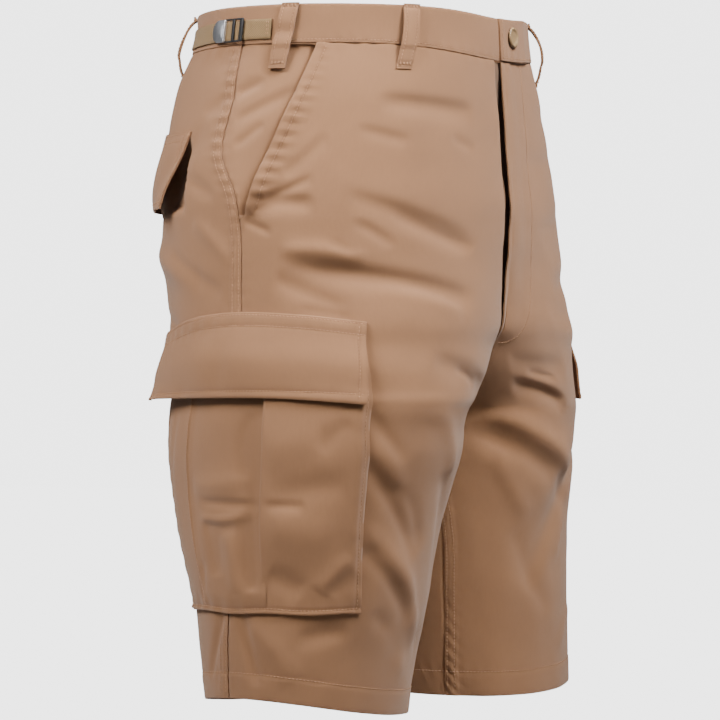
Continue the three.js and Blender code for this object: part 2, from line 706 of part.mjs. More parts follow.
function addButton(group) {
  const profile = [
    [0, 0],
    [buttonRadius - 1, 0],
    [buttonRadius, 0.8],
    [buttonRadius, buttonHeight - 0.6],
    [buttonRadius - 0.8, buttonHeight],
    [buttonRadius - 2.2, buttonHeight],
    [buttonRadius - 3.4, buttonHeight - 0.8],
    [0, buttonHeight - 0.8],
  ].map(([radius, height]) => new THREE.Vector2(radius, height));
  const geometry = new THREE.LatheGeometry(profile, buttonSides);
  geometry.rotateX(Math.PI / 2);
  const mesh = new THREE.Mesh(geometry, materials.button);
  const out = bandOut + bandLapRise + buttonSpot.above;
  mount(group, mesh, "waist_button", left, buttonSpot.turn * degree, buttonSpot.z, out);
}

function buildShorts() {
  const group = new THREE.Group();
  const halves = [
    { side: right, word: "right" },
    { side: left, word: "left" },
  ];
  for (const { side, word } of halves) {
    addFront(group, `front_${word}`, side);
    addSidePanel(group, `side_panel_${word}`, side);
    addBack(group, `back_${word}`, side);
    addBand(group, `waistband_${word}`, side);
    addCargoPocket(group, `cargo_pocket_${word}`, side);
    addCargoFlap(group, `cargo_flap_${word}`, side);
    addBackFlap(group, `back_flap_${word}`, side);
    addWebbing(group, `adjuster_end_${word}`, side, adjuster.front, adjuster.frontEnd);
    addWebbing(group, `adjuster_strap_${word}`, side, adjuster.rearEnd, adjuster.rear);
    addBuckle(group, `adjuster_buckle_${word}`, side);
  }
  addFlyStrip(group);
  addButton(group);
  loops.forEach((loop) => addLoop(group, loop));
  return group;
}

export default buildShorts();
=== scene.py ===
# Cargo shorts in their worn shape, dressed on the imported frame.
# Sizes are in millimetres unless a name says otherwise; meshes are made in metres.

import math

import bpy
import numpy as np
from mathutils import Matrix, Vector


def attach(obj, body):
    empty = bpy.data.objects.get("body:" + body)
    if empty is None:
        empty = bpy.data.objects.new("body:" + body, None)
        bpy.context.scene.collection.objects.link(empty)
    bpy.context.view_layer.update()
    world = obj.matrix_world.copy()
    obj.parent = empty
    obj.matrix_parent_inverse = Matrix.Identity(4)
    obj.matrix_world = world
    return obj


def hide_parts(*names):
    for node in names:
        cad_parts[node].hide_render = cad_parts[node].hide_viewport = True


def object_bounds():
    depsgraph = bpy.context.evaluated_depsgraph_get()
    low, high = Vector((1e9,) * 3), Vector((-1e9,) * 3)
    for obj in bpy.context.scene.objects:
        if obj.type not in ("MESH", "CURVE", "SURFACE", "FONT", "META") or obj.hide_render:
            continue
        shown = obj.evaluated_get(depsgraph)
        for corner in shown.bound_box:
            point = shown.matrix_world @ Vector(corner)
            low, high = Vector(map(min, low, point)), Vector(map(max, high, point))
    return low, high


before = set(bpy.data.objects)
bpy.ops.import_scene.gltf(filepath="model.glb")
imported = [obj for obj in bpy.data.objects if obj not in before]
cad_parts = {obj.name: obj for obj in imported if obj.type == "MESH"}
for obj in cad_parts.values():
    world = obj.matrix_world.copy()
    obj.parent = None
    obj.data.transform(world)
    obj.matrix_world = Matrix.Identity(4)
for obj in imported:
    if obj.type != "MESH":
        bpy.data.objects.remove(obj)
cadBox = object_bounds()
mm = 0.001
degree = math.pi / 180
fullTurn = 2 * math.pi
right = -1
left = 1
sideWords = {right: "right", left: "left"}


def linked(name, data):
    thing = bpy.data.objects.new(name, data)
    bpy.context.scene.collection.objects.link(thing)
    return thing


def sided(word, side):
    return word + sideWords[side].capitalize()


# Camera

cameraPlace = {
    "distance": 3280,
    "toward": 60,  # degrees from the front, round to the wearer's right
    "height": -289,
    "focal": 3634,  # pixels
    "frame": 720,  # pixels
    "sensor": 36,
    "axisPixel": 363,  # where the garment's middle line stands in the frame
}


def addCamera():
    place = cameraPlace
    data = bpy.data.cameras.new("camera")
    camera = linked("camera", data)
    angle = place["toward"] * degree
    back = Vector((-math.sin(angle), -math.cos(angle), 0))
    data.sensor_width = place["sensor"]
    data.lens = place["focal"] / place["frame"] * place["sensor"]
    data.shift_x = (place["frame"] / 2 - place["axisPixel"]) / place["frame"]
    data.clip_end = 100
    camera.location = back * place["distance"] * mm + Vector((0, 0, place["height"] * mm))
    camera.rotation_euler = back.to_track_quat("Z", "Y").to_euler()
    bpy.context.scene.camera = camera


addCamera()

# Each half of the shorts follows the oval of its leg, cut off by the middle plane above
# the crotch: height, the oval's centre from that plane, half width, depth to the front
# and back, how far each leg is shifted, and how square the oval is.

sectionColumns = ("z", "centre", "wide", "front", "back", "right", "left", "square")
sectionRows = [
    (-600, 123.5, 96, 85, 81, -14, -47, 0.01),
    (-545, 121, 99.5, 91.5, 91, -15, -40, 0.01),
    (-500, 118.5, 102.5, 99.5, 99.5, -17, -33, 0.01),
    (-465, 116.5, 104.5, 105.5, 105.5, -17, -28, 0.01),
    (-430, 114.5, 106.5, 112, 112.5, -17, -24, 0.01),
    (-400, 113, 107.5, 119, 120, -18, -22, 0.01),
    (-370, 112, 108.5, 126, 127, -20, -20, 0.01),
    (-345, 110.5, 109, 129, 129, -21, -17, 0.01),
    (-331, 109, 109, 132, 131, -22, -16, 0.01),
    (-324, 105, 112.5, 134, 132, -22, -15, 0.01),
    (-315, 99, 118, 136, 132.5, -20, -14, 0.01),
    (-300, 90, 127.5, 139, 134, -17, -12, 0.015),
    (-275, 77, 140, 144, 135, -10, -9, 0.02),
    (-262, 70, 147, 147, 135.5, -8, -8, 0.025),
    (-235, 58, 157, 148, 139, -5, -5, 0.03),
    (-208, 40, 174, 148, 145, -3, -3, 0.035),
    (-180, 22, 191, 150, 152.5, -2, -2, 0.04),
    (-153, 10, 202, 151.5, 157.5, -1, -1, 0.042),
    (-126, 4, 204, 150, 157, 0, 0, 0.042),
    (-100, 1, 201, 148, 154, 0, 0, 0.042),
    (-72, 0, 194, 146, 152, 0, 0, 0.04),
    (-45, 0, 186, 144, 149, 0, 0, 0.03),
    (-18, 0, 177, 141.5, 144, 0, 0, 0.012),
    (17, 0, 172, 140, 142, 0, 0, 0),
]
heights = {
    "bandTop": 17,
    "bandTopDip": 5,
    "bandSeam": -17,
    "bandSeamDip": 8.5,
    "underBand": -36,
    "slantEnd": -168,
    "lapEnd": -262,
    "lapSeamed": -275,
    "crotch": -331,
    "hemStart": -545,
    "hemEdge": -590,
}
hems = {
    right: {"level": -588, "tilt": 8, "toward": 200, "wave": 3.5},
    left: {"level": -585.5, "tilt": 7, "toward": 195, "wave": 2},
}
# Lines down the cloth: height and the turn round the half, in degrees from its inner
# side (0) through the front (90) and the outer side (180) to the back (270).
sideSeamLine = [(-600, 194), (-510, 194), (-241, 180.4), (-187, 179.6), (-148, 181.8), (-111, 188.2),
                (-70, 187.4), (-18, 187.6), (20, 185.4)]
slantLine = [(-170, 178.6), (-154, 176.3), (-125, 172.3), (-84, 166.6), (-41, 161.5), (-10, 158.5)]
inseamLine = [(-600, 15), (-567, 17), (-504, 22), (-444, 25), (-410, 23), (-375, 17), (-345, 8), (-331, 0)]


def slopes(x, y):
    step = np.diff(x)
    rise = np.diff(y) / step
    inner = (rise[:-1] * step[1:] + rise[1:] * step[:-1]) / (step[:-1] + step[1:])
    return np.concatenate([rise[:1], inner, rise[-1:]])


def curve(rows, column, value):  # a smooth curve through a table whose first column rises
    x = np.array([row[0] for row in rows], float)
    y = np.array([row[column] for row in rows], float)
    slope = slopes(x, y)
    value = np.asarray(value, float)
    i = np.clip(np.searchsorted(x, value) - 1, 0, len(x) - 2)
    span = x[i + 1] - x[i]
    t = np.clip((value - x[i]) / span, 0, 1)
    held = (2 * t - 3) * t * t + 1
    leaving = ((t - 2) * t + 1) * t
    arriving = (t - 1) * t * t
    return held * y[i] + (1 - held) * y[i + 1] + (leaving * slope[i] + arriving * slope[i + 1]) * span


def section(name, z):
    return curve(sectionRows, sectionColumns.index(name), z)


def lineTurn(line, z):
    return curve(line, 1, z) * degree


def evenly(start, end, value):
    return np.clip((value - start) / (end - start), 0, 1)


def smooth(start, end, value):
    share = evenly(start, end, value)
    return share * share * (3 - 2 * share)


def mix(start, end, share):
    return start + (end - start) * share


def squareness(z, turn):
    return 1 + section("square", z) * np.sin(2 * turn) ** 2


def frontTurn(z, distance):  # where the front of a half is some millimetres from the middle plane
    centre = section("centre", z)
    wide = section("wide", z)
    turn = np.full(np.shape(z), math.pi / 2)
    for _ in range(6):
        turn = np.arccos(np.clip((centre - np.abs(distance)) / (wide * squareness(z, turn)), -1, 1))
    return turn


def edgeTurn(z):
    return np.where(np.asarray(z) > heights["crotch"], frontTurn(z, 0), 0)


def lappedTurn(z, distance):  # as frontTurn, past the middle plane where the distance is negative
    turn = frontTurn(z, distance)
    return np.where(np.asarray(distance) < 0, 2 * edgeTurn(z) - turn, turn)


def oval(side, turn, z):
    grown = squareness(z, turn)
    depth = np.where(np.sin(turn) > 0, section("front", z), section("back", z))
    shift = np.where(np.asarray(side) < 0, section("right", z), section("left", z))
    x = side * (section("centre", z) - section("wide", z) * grown * np.cos(turn))
    y = shift - depth * grown * np.sin(turn)
    return np.stack(np.broadcast_arrays(x, y, z), -1)


def outward(side, turn, z):
    around = oval(side, turn + 0.01, z) - oval(side, turn - 0.01, z)
    up = oval(side, turn, z + 2) - oval(side, turn, z - 2)
    normal = np.cross(around, up) * np.asarray(side)[..., None]
    return normal / np.linalg.norm(normal, axis=-1, keepdims=True)


def bandTopAt(turn):
    return heights["bandTop"] - heights["bandTopDip"] * np.exp(-(((turn / degree - 90) / 20) ** 2))


def bandSeamAt(turn):
    return heights["bandSeam"] - heights["bandSeamDip"] * np.exp(-(((turn / degree - 90) / 28) ** 2))


def hemAt(side, turn):
    hem = hems[side]
    return hem["level"] + hem["tilt"] * np.cos(turn - hem["toward"] * degree) + hem["wave"] * np.cos(2 * turn)


# Folds. Each row: side, turn and height where it starts, the same where it ends, how far
# its middle bows sideways, its lift (negative sinks the cloth), its width, and how much
# wider its upper flank is than its lower one.

mainFolds = [
    (right, 200, 2, 292, -4, 0, -2.2, 26, 0),
    (right, 164, -212, 96, -238, 4, -2.6, 11, 0.3),
    (right, 146, -150, 102, -192, 2, -1.6, 10, 0.3),
    (right, 168, -220, 144, -246, 0, -1.2, 9, 0),
    (right, 176, -158, 155, -156, 2, -1.8, 8, 0.2),
    (right, 138, -68, 106, -74, 1, -1.6, 9, 0.3),
    (right, 134, -375, 95, -460, 2, -1.6, 9, -0.2),
    (right, 128, -448, 90, -514, 2, -1.6, 9, -0.2),
    (right, 136, -350, 100, -438, 2, 1.1, 9, 0),
    (right, 130, -428, 89, -495, 2, 1.1, 9, 0),
    (right, 84, -384, 66, -488, 6, -1.6, 13, -0.2),
    (right, 122, -452, 76, -532, 6, 2.2, 13, 0),
    (right, 112, -290, 62, -318, 3, -2.2, 11, 0.3),
    (right, 60, -346, 40, -470, 6, 2, 16, 0),
    (right, 196, -84, 250, -196, 10, -1.8, 15, 0),
    (right, 258, -186, 200, -222, 4, 2, 14, 0),
    (right, 318, -318, 262, -386, 8, -3, 15, 0.2),
    (right, 322, -380, 268, -488, 8, 2.4, 17, 0),
    (left, 60, -312, 92, -329, -3, -2.6, 9, 0.3),
    (left, 42, -332, 104, -394, -4, 2.8, 12, -0.2),
    (left, 36, -352, 86, -396, -3, -1.8, 12, 0),
    (left, 62, -292, 98, -294, 2, -1.3, 12, 0.2),
    (left, 160, -206, 100, -230, 4, -1.3, 14, 0.3),
    (left, 176, -160, 152, -152, 2, -1.6, 8, 0.2),
    (left, 130, -352, 66, -500, 12, -2.2, 15, -0.3),
    (left, 200, -88, 248, -190, 8, -1.8, 15, 0),
    (left, 262, -194, 204, -220, 4, 1.8, 14, 0),
    (left, 314, -322, 264, -398, 8, -2.8, 16, 0.2),
    (left, 318, -392, 272, -500, 8, 2.2, 17, 0),
]
fineCreases = [
    (right, 171, -150, 156, -133, -2, -1.3, 5, 0.3),
    (right, 165, -131, 152, -98, -2, -0.9, 8, 0.3),
    (right, 178, -171, 169, -180, 0, -0.9, 4, 0),
    (right, 143, -92, 128, -102, 0, -0.8, 6, 0.3),
    (right, 114, -97, 106, -106, 0, -0.6, 5, 0),
    (right, 143, -172, 131, -192, 1, -1, 6, 0.2),
    (right, 150, -190, 142, -199, 0, -0.7, 5, 0),
    (right, 132, -164, 101, -193, -3, -1.1, 7, 0.3),
    (right, 166, -196, 138, -203, 3, 1.3, 8, 0),
    (right, 136, -228, 100, -250, 3, 1, 9, 0),
    (right, 160, -246, 142, -256, 1, -0.8, 6, 0),
    (right, 186, -60, 176, -48, 0, -0.9, 5, 0.3),
    (right, 185, -84, 163, -56, 1, -1, 6, 0.3),
    (right, 184, -106, 174, -86, 0, -0.9, 5, 0.2),
    (right, 200, -78, 178, -48, 0, -0.8, 8, 0),
    (right, 206, -128, 190, -150, 1, -0.8, 8, 0),
    (right, 200, -170, 184, -206, 3, 0.9, 9, 0),
    (right, 214, -196, 188, -232, -2, -1, 9, 0.2),
    (right, 118, -394, 92, -452, 5, -1.1, 7, -0.3),
    (right, 104, -330, 76, -392, 8, 1.1, 12, 0),
    (right, 139, -327, 116, -376, 0, -1, 6, -0.2),
    (right, 118, -501, 90, -547, 0, -0.9, 8, 0),
    (right, 96, -476, 70, -548, 4, -1, 9, -0.2),
    (right, 196, -500, 211, -562, 0, -1.3, 5.5, 0),
    (right, 187, -500, 174, -566, 1, -1.4, 6.5, 0),
    (right, 179, -511, 153, -562, 2, 1, 12, 0),
    (right, 154, -526, 129, -519, 2, -1.1, 10, 0),
    (right, 110, -516, 84, -562, 2, 0.8, 9, 0),
    (right, 96, -296, 74, -312, 1, -0.9, 4, 0.3),
    (right, 40, -336, 22, -372, 2, -1.1, 8, 0),
    (right, 240, -250, 216, -262, 2, -0.8, 8, 0),
    (right, 300, -256, 262, -284, 4, -1.2, 10, 0.2),
    (right, 296, -330, 256, -356, 4, 1, 10, 0),
    (right, 336, -346, 300, -420, 4, -1.2, 9, 0.2),
    (right, 262, -420, 240, -500, 4, -1, 10, 0),
    (right, 292, -40, 246, -62, 2, -0.7, 8, 0),
    (right, 262, -96, 232, -128, 3, -0.6, 8, 0),
    (left, 106, -72, 140, -66, 1, -0.5, 12, 0.3),
    (left, 98, -114, 132, -102, 2, -0.5, 11, 0.2),
    (left, 100, -176, 138, -146, 3, -0.6, 12, 0.3),
    (left, 96, -210, 142, -186, 3, 0.5, 13, 0),
    (left, 92, -248, 138, -240, 3, -0.6, 12, 0.2),
    (left, 98, -266, 136, -264, 1, 0.5, 10, 0),
    (left, 70, -300, 88, -306, 0, -0.9, 5, 0.2),
    (left, 48, -372, 70, -432, 3, 1, 11, 0),
    (left, 100, -434, 90, -474, 0, 0.9, 3.5, 0),
    (left, 60, -440, 84, -520, 4, -1.1, 12, 0),
    (left, 88, -390, 110, -430, 3, -0.9, 10, 0),
    (left, 170, -148, 156, -132, 2, -1.1, 6, 0.3),
    (left, 184, -84, 164, -58, 1, -0.9, 6, 0.3),
    (left, 186, -108, 176, -88, 0, -0.8, 5, 0.2),
    (left, 298, -258, 264, -282, 4, -1.1, 10, 0.2),
    (left, 294, -334, 258, -362, 4, 1, 10, 0),
    (left, 334, -350, 302, -426, 4, -1.1, 9, 0.2),
    (left, 264, -424, 242, -506, 4, -1, 10, 0),
    (left, 290, -42, 248, -60, 2, -0.7, 8, 0),
    (left, 118, -514, 94, -556, 3, 0.8, 9, 0),
    (left, 186, -512, 172, -550, 2, -1, 6, 0.2),
]


foldShape = {"mainDepth": 2.05, "mainWidth": 0.9, "fineDepth": 1.95, "fineWidth": 0.84, "ripple": 0.42}


def foldLift(side, turn, z, rows, widths):
    lift = np.zeros(np.broadcast(turn, z).shape)
    for foldSide, fromTurn, fromZ, toTurn, toZ, bow, high, wide, lean in rows:
        middle = (fromZ + toZ) / 2
        radius = float(section("wide", middle) + section("front", middle)) / 2
        runX = (toTurn - fromTurn) * degree * radius
        runZ = toZ - fromZ
        length = math.hypot(runX, runZ)
        toX = (turn - fromTurn * degree) * radius
        toZed = z - fromZ
        share = (toX * runX + toZed * runZ) / length**2
        aside = (toX * runZ - toZed * runX) / length - 4 * bow * share * (1 - share)
        flank = widths * wide * (1 + lean * np.tanh(aside / wide * np.sign(runX)))
        fade = np.clip(1 - (2 * share - 1) ** 4, 0, 1)
        lift += np.where(side == foldSide, high * fade * np.exp(-((aside / flank) ** 2)), 0)
    return lift


def ripple(side, turn, z):  # the slow unevenness of worn cloth
    arc = turn * 130
    seed = 0.7 * np.asarray(side)
    slow = np.sin(arc / 23 + z / 31 + seed) * np.sin(z / 43 - arc / 57 + 2 * seed)
    slow += 0.6 * np.sin(arc / 11 - z / 17 + 3 * seed) * np.sin(z / 29 + arc / 37)
    slow += 0.35 * np.sin(arc / 7.3 + z / 9.1 + seed) * np.sin(z / 13.7 - arc / 19.3)
    return foldShape["ripple"] * slow


def resolve(side, turn, z):  # past the middle plane a point lies on the other half
    edge = edgeTurn(z)
    before = (edge > 0) & (turn < edge)
    after = (edge > 0) & (turn > fullTurn - edge)
    turn = np.where(before, 2 * edge - turn, np.where(after, 2 * (fullTurn - edge) - turn, turn))
    return np.where(before | after, -side, side), turn


seamGap = 0.3


def layCloth(side, turn, z, creased=1.0):
    turn, z = np.broadcast_arrays(turn, z)
    realSide, realTurn = resolve(side, turn, z)
    shape = foldShape
    lift = shape["mainDepth"] * foldLift(realSide, realTurn, z, mainFolds, shape["mainWidth"])
    fine = shape["fineDepth"] * foldLift(realSide, realTurn, z, fineCreases, shape["fineWidth"])
    lift += creased * (fine + ripple(realSide, realTurn, z))
    normal = outward(realSide, realTurn, z)
    point = oval(realSide, realTurn, z) + normal * lift[..., None]
    return {"side": side, "turn": turn, "z": z, "point": point, "normal": normal, "realSide": realSide}


def measureArcs(cloth):  # millimetres from each edge of the grid, along the cloth
    point = cloth["point"]
    across = np.linalg.norm(np.diff(point, axis=1), axis=-1)
    down = np.linalg.norm(np.diff(point, axis=0), axis=-1)
    fromStart = np.pad(np.cumsum(across, 1), ((0, 0), (1, 0)))
    fromTop = np.pad(np.cumsum(down, 0), ((1, 0), (0, 0)))
    cloth["fromStart"] = fromStart
    cloth["fromEnd"] = fromStart[:, -1:] - fromStart
    cloth["fromTop"] = fromTop
    cloth["fromBottom"] = fromTop[-1:] - fromTop


def clustered(count, pull):  # stops from 0 to 1 that stand closer at both ends
    t = np.linspace(0, 1, count + 1)
    return t - pull * np.sin(fullTurn * t) / fullTurn


def furrow(distance, line, deep=0.3, wide=1.1):  # the dent that a row of stitches pulls in
    return -deep * np.exp(-(((distance - line) / wide) ** 2))


def pucker(distance, along, line, high=0.3, reach=7, pitch=9.5, seed=0.0):
    wave = np.sin(along / pitch * fullTurn + 1.7 * np.sin(along / 31 + seed) + seed)
    wave = wave * (0.6 + 0.4 * np.sin(along / 47 + 2 * seed))
    return high * wave * np.exp(-(((distance - line) / reach) ** 2))


def bead(distance, wide=1.6, high=0.25):  # the round of a folded edge
    return -high * np.exp(-((distance / wide) ** 2) * 2.5)


def clothObject(name, cloth, lift, thick, material):
    side = cloth["side"]
    normal = cloth["normal"]
    outer = cloth["point"] + normal * np.asarray(lift)[..., None]
    inner = outer - normal * np.broadcast_to(thick, outer.shape[:2])[..., None]
    if cloth.get("halfOnly", False):
        limit = seamGap / 2
        for layer in (outer, inner):
            keep = cloth["realSide"] == side
            layer[..., 0] = np.where(keep, side * np.maximum(side * layer[..., 0], limit), layer[..., 0])
    cloth["outer"] = outer
    rows, columns = outer.shape[:2]
    count = rows * columns
    index = np.arange(count).reshape(rows, columns)
    quads = np.stack([index[:-1, :-1], index[1:, :-1], index[1:, 1:], index[:-1, 1:]], -1).reshape(-1, 4)
    loop = np.concatenate([index[0, :-1], index[:-1, -1], index[-1, :0:-1], index[:0:-1, 0]])
    rim = np.stack([loop, np.roll(loop, -1), np.roll(loop, -1) + count, loop + count], -1)
    faces = np.concatenate([quads, quads[:, ::-1] + count, rim])
    if side < 0:
        faces = faces[:, ::-1]
    points = np.concatenate([outer.reshape(-1, 3), inner.reshape(-1, 3)]) * mm
    mesh = bpy.data.meshes.new(name)
    mesh.from_pydata(points.tolist(), [], faces.tolist())
    middle = columns // 2
    flat = np.stack([cloth["fromStart"] - cloth["fromStart"][:, middle : middle + 1], -cloth["fromTop"]], -1)
    flat = np.concatenate([flat.reshape(-1, 2)] * 2) * mm
    uvLayer = mesh.uv_layers.new(name="cloth")
    loopVertex = np.empty(len(mesh.loops), np.int32)
    mesh.loops.foreach_get("vertex_index", loopVertex)
    uvLayer.data.foreach_set("uv", flat[loopVertex].astype(np.float32).ravel())
    mesh.polygons.foreach_set("use_smooth", np.ones(len(mesh.polygons), bool))
    mesh.set_sharp_from_angle(angle=60 * degree)
    mesh.materials.append(material)
    piece = linked(name, mesh)
    return piece


def dress(piece, nodes=()):
    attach(piece, "root")
    if nodes:
        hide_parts(*nodes)


# Stitches are laid on the finished cloth, as rows of short threads.

stitchSizes = {"length": 2.5, "gap": 0.7, "radius": 0.31, "sink": 0.08, "above": 0.75}
stitchPoints = []
stitchFaces = []


def sewAlong(points, normals):
    step = np.linalg.norm(np.diff(points, axis=0), axis=1)
    way = np.concatenate([[0], np.cumsum(step)])
    pitch = stitchSizes["length"] + stitchSizes["gap"]
    starts = np.arange(0.6, way[-1] - stitchSizes["length"], pitch)
    if not len(starts):
        return

    def at(places, values):
        return np.stack([np.interp(places, way, values[:, axis]) for axis in range(3)], -1)

    head = at(starts, points)
    tail = at(starts + stitchSizes["length"], points)
    normal = at(starts + stitchSizes["length"] / 2, normals)
    normal /= np.linalg.norm(normal, axis=1, keepdims=True)
    along = tail - head
    along /= np.linalg.norm(along, axis=1, keepdims=True)
    across = np.cross(along, normal)
    radius = stitchSizes["radius"]
    lift = normal * (radius * stitchSizes["above"])
    corners = [head - normal * stitchSizes["sink"]]
    for share in (0.22, 0.78):
        middle = head + (tail - head) * share + lift
        for a, b in ((1, 0), (0, 1), (-1, 0), (0, -1)):
            corners.append(middle + across * a * radius + normal * b * radius)
    corners.append(tail - normal * stitchSizes["sink"])
    block = np.stack(corners, 1)
    pattern = [(0, 1 + (i + 1) % 4, 1 + i) for i in range(4)]
    pattern += [(1 + i, 1 + (i + 1) % 4, 5 + (i + 1) % 4) for i in range(4)]
    pattern += [(1 + i, 5 + (i + 1) % 4, 5 + i) for i in range(4)]
    pattern += [(9, 5 + i, 5 + (i + 1) % 4) for i in range(4)]
    base = sum(len(p) for p in stitchPoints) + np.arange(len(starts))[:, None, None] * 10
    stitchPoints.append(block.reshape(-1, 3))
    stitchFaces.append((np.array(pattern)[None] + base).reshape(-1, 3))


def sewEdge(cloth, edge, inset, start=0.0, end=1.0):
    outer = cloth["outer"]
    normal = cloth["normal"]
    distance = cloth[edge]
    if edge in ("fromTop", "fromBottom"):
        outer = outer.transpose(1, 0, 2)
        normal = normal.transpose(1, 0, 2)
        distance = distance.T
    rows = len(outer)
    points = []
    normals = []
    for row in range(int(start * (rows - 1)), int(end * (rows - 1)) + 1):
        order = np.argsort(distance[row])
        if distance[row].max() < inset:
            continue
        spot = [np.interp(inset, distance[row][order], outer[row][order, axis]) for axis in range(3)]
        lean = [np.interp(inset, distance[row][order], normal[row][order, axis]) for axis in range(3)]
        points.append(spot)
        normals.append(lean)
    if len(points) > 2:
        sewAlong(np.array(points), np.array(normals))


def sewPath(cloth, turns, zs):  # along a path given by turns and heights
    outer = cloth["outer"].reshape(-1, 3)
    normal = cloth["normal"].reshape(-1, 3)
    radius = 140
    flatX = (cloth["turn"] * radius).ravel()
    flatZ = cloth["z"].ravel()
    points = []
    normals = []
    for turn, z in zip(turns, zs):
        away = (flatX - turn * radius) ** 2 + (flatZ - z) ** 2
        near = np.argpartition(away, 4)[:4]
        weight = 1 / (away[near] + 0.01)
        weight /= weight.sum()
        points.append(weight @ outer[near])
        normals.append(weight @ normal[near])
    sewAlong(np.array(points), np.array(normals))


def barTack(points, normals, width=2.0, passes=5):  # a short dense zigzag across a strip
    points = np.array(points)
    normals = np.array(normals)
    along = np.gradient(points, axis=0)
    across = np.cross(along, normals)
    across /= np.linalg.norm(across, axis=1, keepdims=True)
    for i in range(passes):
        shift = (i / (passes - 1) - 0.5) * width
        sewAlong(points + across * shift, normals)


# Materials

shades = {
    "twillLight": (0.216, 0.104, 0.047),
    "twillDark": (0.152, 0.071, 0.032),
    "threadColour": (0.3, 0.15, 0.068),
    "webbingLight": (0.19, 0.108, 0.034),
    "webbingDark": (0.115, 0.064, 0.019),
    "buttonColour": (0.22, 0.14, 0.07),
    "nickelDark": (0.62, 0.63, 0.67),
    "nickelLight": (0.8, 0.81, 0.86),
    "steelDark": (0.015, 0.015, 0.016),
    "steelLight": (0.05, 0.05, 0.052),
}


def newGroup(name, inputs, outputs):
    group = bpy.data.node_groups.new(name, "ShaderNodeTree")
    for socketName, kind, value in inputs:
        socket = group.interface.new_socket(name=socketName, in_out="INPUT", socket_type=kind)
        if value is not None:
            socket.default_value = value
    for socketName, kind in outputs:
        group.interface.new_socket(name=socketName, in_out="OUTPUT", socket_type=kind)
    enter = group.nodes.new("NodeGroupInput")
    leave = group.nodes.new("NodeGroupOutput")
    return group, enter, leave


def mathNode(tree, operation, first, second=None):
    node = tree.nodes.new("ShaderNodeMath")
    node.operation = operation
    for i, value in enumerate((first, second)):
        if value is None:
            continue
        if isinstance(value, (int, float)):
            node.inputs[i].default_value = value
        else:
            tree.links.new(value, node.inputs[i])
    return node.outputs[0]


def noiseAt(tree, place, scale, detail=2):
    noise = tree.nodes.new("ShaderNodeTexNoise")
    noise.inputs["Scale"].default_value = scale
    noise.inputs["Detail"].default_value = detail
    tree.links.new(place, noise.inputs["Vector"])
    return noise.outputs["Fac"]


def stretched(tree, place, amounts):
    stretch = tree.nodes.new("ShaderNodeVectorMath")
    stretch.operation = "MULTIPLY"
    stretch.inputs[1].default_value = amounts
    tree.links.new(place, stretch.inputs[0])
    return stretch.outputs[0]


def makeTwillWeave():
    # Diagonal ribs with the threads that cross them. Place is in metres of cloth.
    group, enter, leave = newGroup(
        "twillWeave",
        [
            ("Place", "NodeSocketVector", None),
            ("Pitch", "NodeSocketFloat", 0.001),
            ("Slope", "NodeSocketFloat", 1.9),
        ],
        [("Height", "NodeSocketFloat"), ("Shade", "NodeSocketFloat")],
    )
    split = group.nodes.new("ShaderNodeSeparateXYZ")
    group.links.new(enter.outputs["Place"], split.inputs[0])
    drift = mathNode(group, "MULTIPLY", noiseAt(group, enter.outputs["Place"], 60), 2.2)
    leaning = mathNode(group, "MULTIPLY", split.outputs["X"], enter.outputs["Slope"])
    slanted = mathNode(group, "ADD", leaning, split.outputs["Y"])
    turns = mathNode(group, "DIVIDE", slanted, enter.outputs["Pitch"])
    angle = mathNode(group, "MULTIPLY_ADD", turns, fullTurn)
    group.links.new(drift, angle.node.inputs[2])
    rib = mathNode(group, "SINE", angle)
    crossTurns = mathNode(group, "DIVIDE", split.outputs["Y"], enter.outputs["Pitch"])
    crossAngle = mathNode(group, "MULTIPLY", crossTurns, 2.6 * fullTurn)
    crossing = mathNode(group, "MULTIPLY", mathNode(group, "SINE", crossAngle), 0.35)
    height = mathNode(group, "ADD", rib, crossing)
    group.links.new(height, leave.inputs["Height"])
    group.links.new(mathNode(group, "MULTIPLY_ADD", height, 0.35), leave.inputs["Shade"])
    leave.inputs["Shade"].links[0].from_node.inputs[2].default_value = 0.5
    return group


def makeDyeMottle():
    # Slow and fast unevenness of the dye, and stray lighter fibres.
    group, enter, leave = newGroup(
        "dyeMottle",
        [("Place", "NodeSocketVector", None), ("Fibre", "NodeSocketFloat", 0.4)],
        [("Shade", "NodeSocketFloat"), ("Fuzz", "NodeSocketFloat")],
    )
    slow = noiseAt(group, enter.outputs["Place"], 14, 4)
    fast = noiseAt(group, stretched(group, enter.outputs["Place"], (1, 0.25, 1)), 420, 3)
    fibres = mathNode(group, "MULTIPLY", fast, enter.outputs["Fibre"])
    total = mathNode(group, "ADD", slow, fibres)
    group.links.new(mathNode(group, "MULTIPLY", total, 0.7), leave.inputs["Shade"])
    group.links.new(fast, leave.inputs["Fuzz"])
    return group


def makeWebbingRibs():
    # Ribs across a strap, with rows of threads along it.
    group, enter, leave = newGroup(
        "webbingRibs",
        [("Place", "NodeSocketVector", None), ("Pitch", "NodeSocketFloat", 0.0016)],
        [("Height", "NodeSocketFloat")],
    )
    split = group.nodes.new("ShaderNodeSeparateXYZ")
    group.links.new(enter.outputs["Place"], split.inputs[0])
    acrossTurns = mathNode(group, "DIVIDE", split.outputs["X"], enter.outputs["Pitch"])
    across = mathNode(group, "MULTIPLY", acrossTurns, fullTurn)
    alongTurns = mathNode(group, "DIVIDE", split.outputs["Y"], enter.outputs["Pitch"])
    along = mathNode(group, "MULTIPLY", alongTurns, 1.3 * fullTurn)
    ribs = mathNode(group, "SINE", across)
    rows = mathNode(group, "SINE", along)
    group.links.new(mathNode(group, "MULTIPLY", ribs, rows), leave.inputs["Height"])
    return group


groups = {"weave": makeTwillWeave(), "mottle": makeDyeMottle(), "ribs": makeWebbingRibs()}


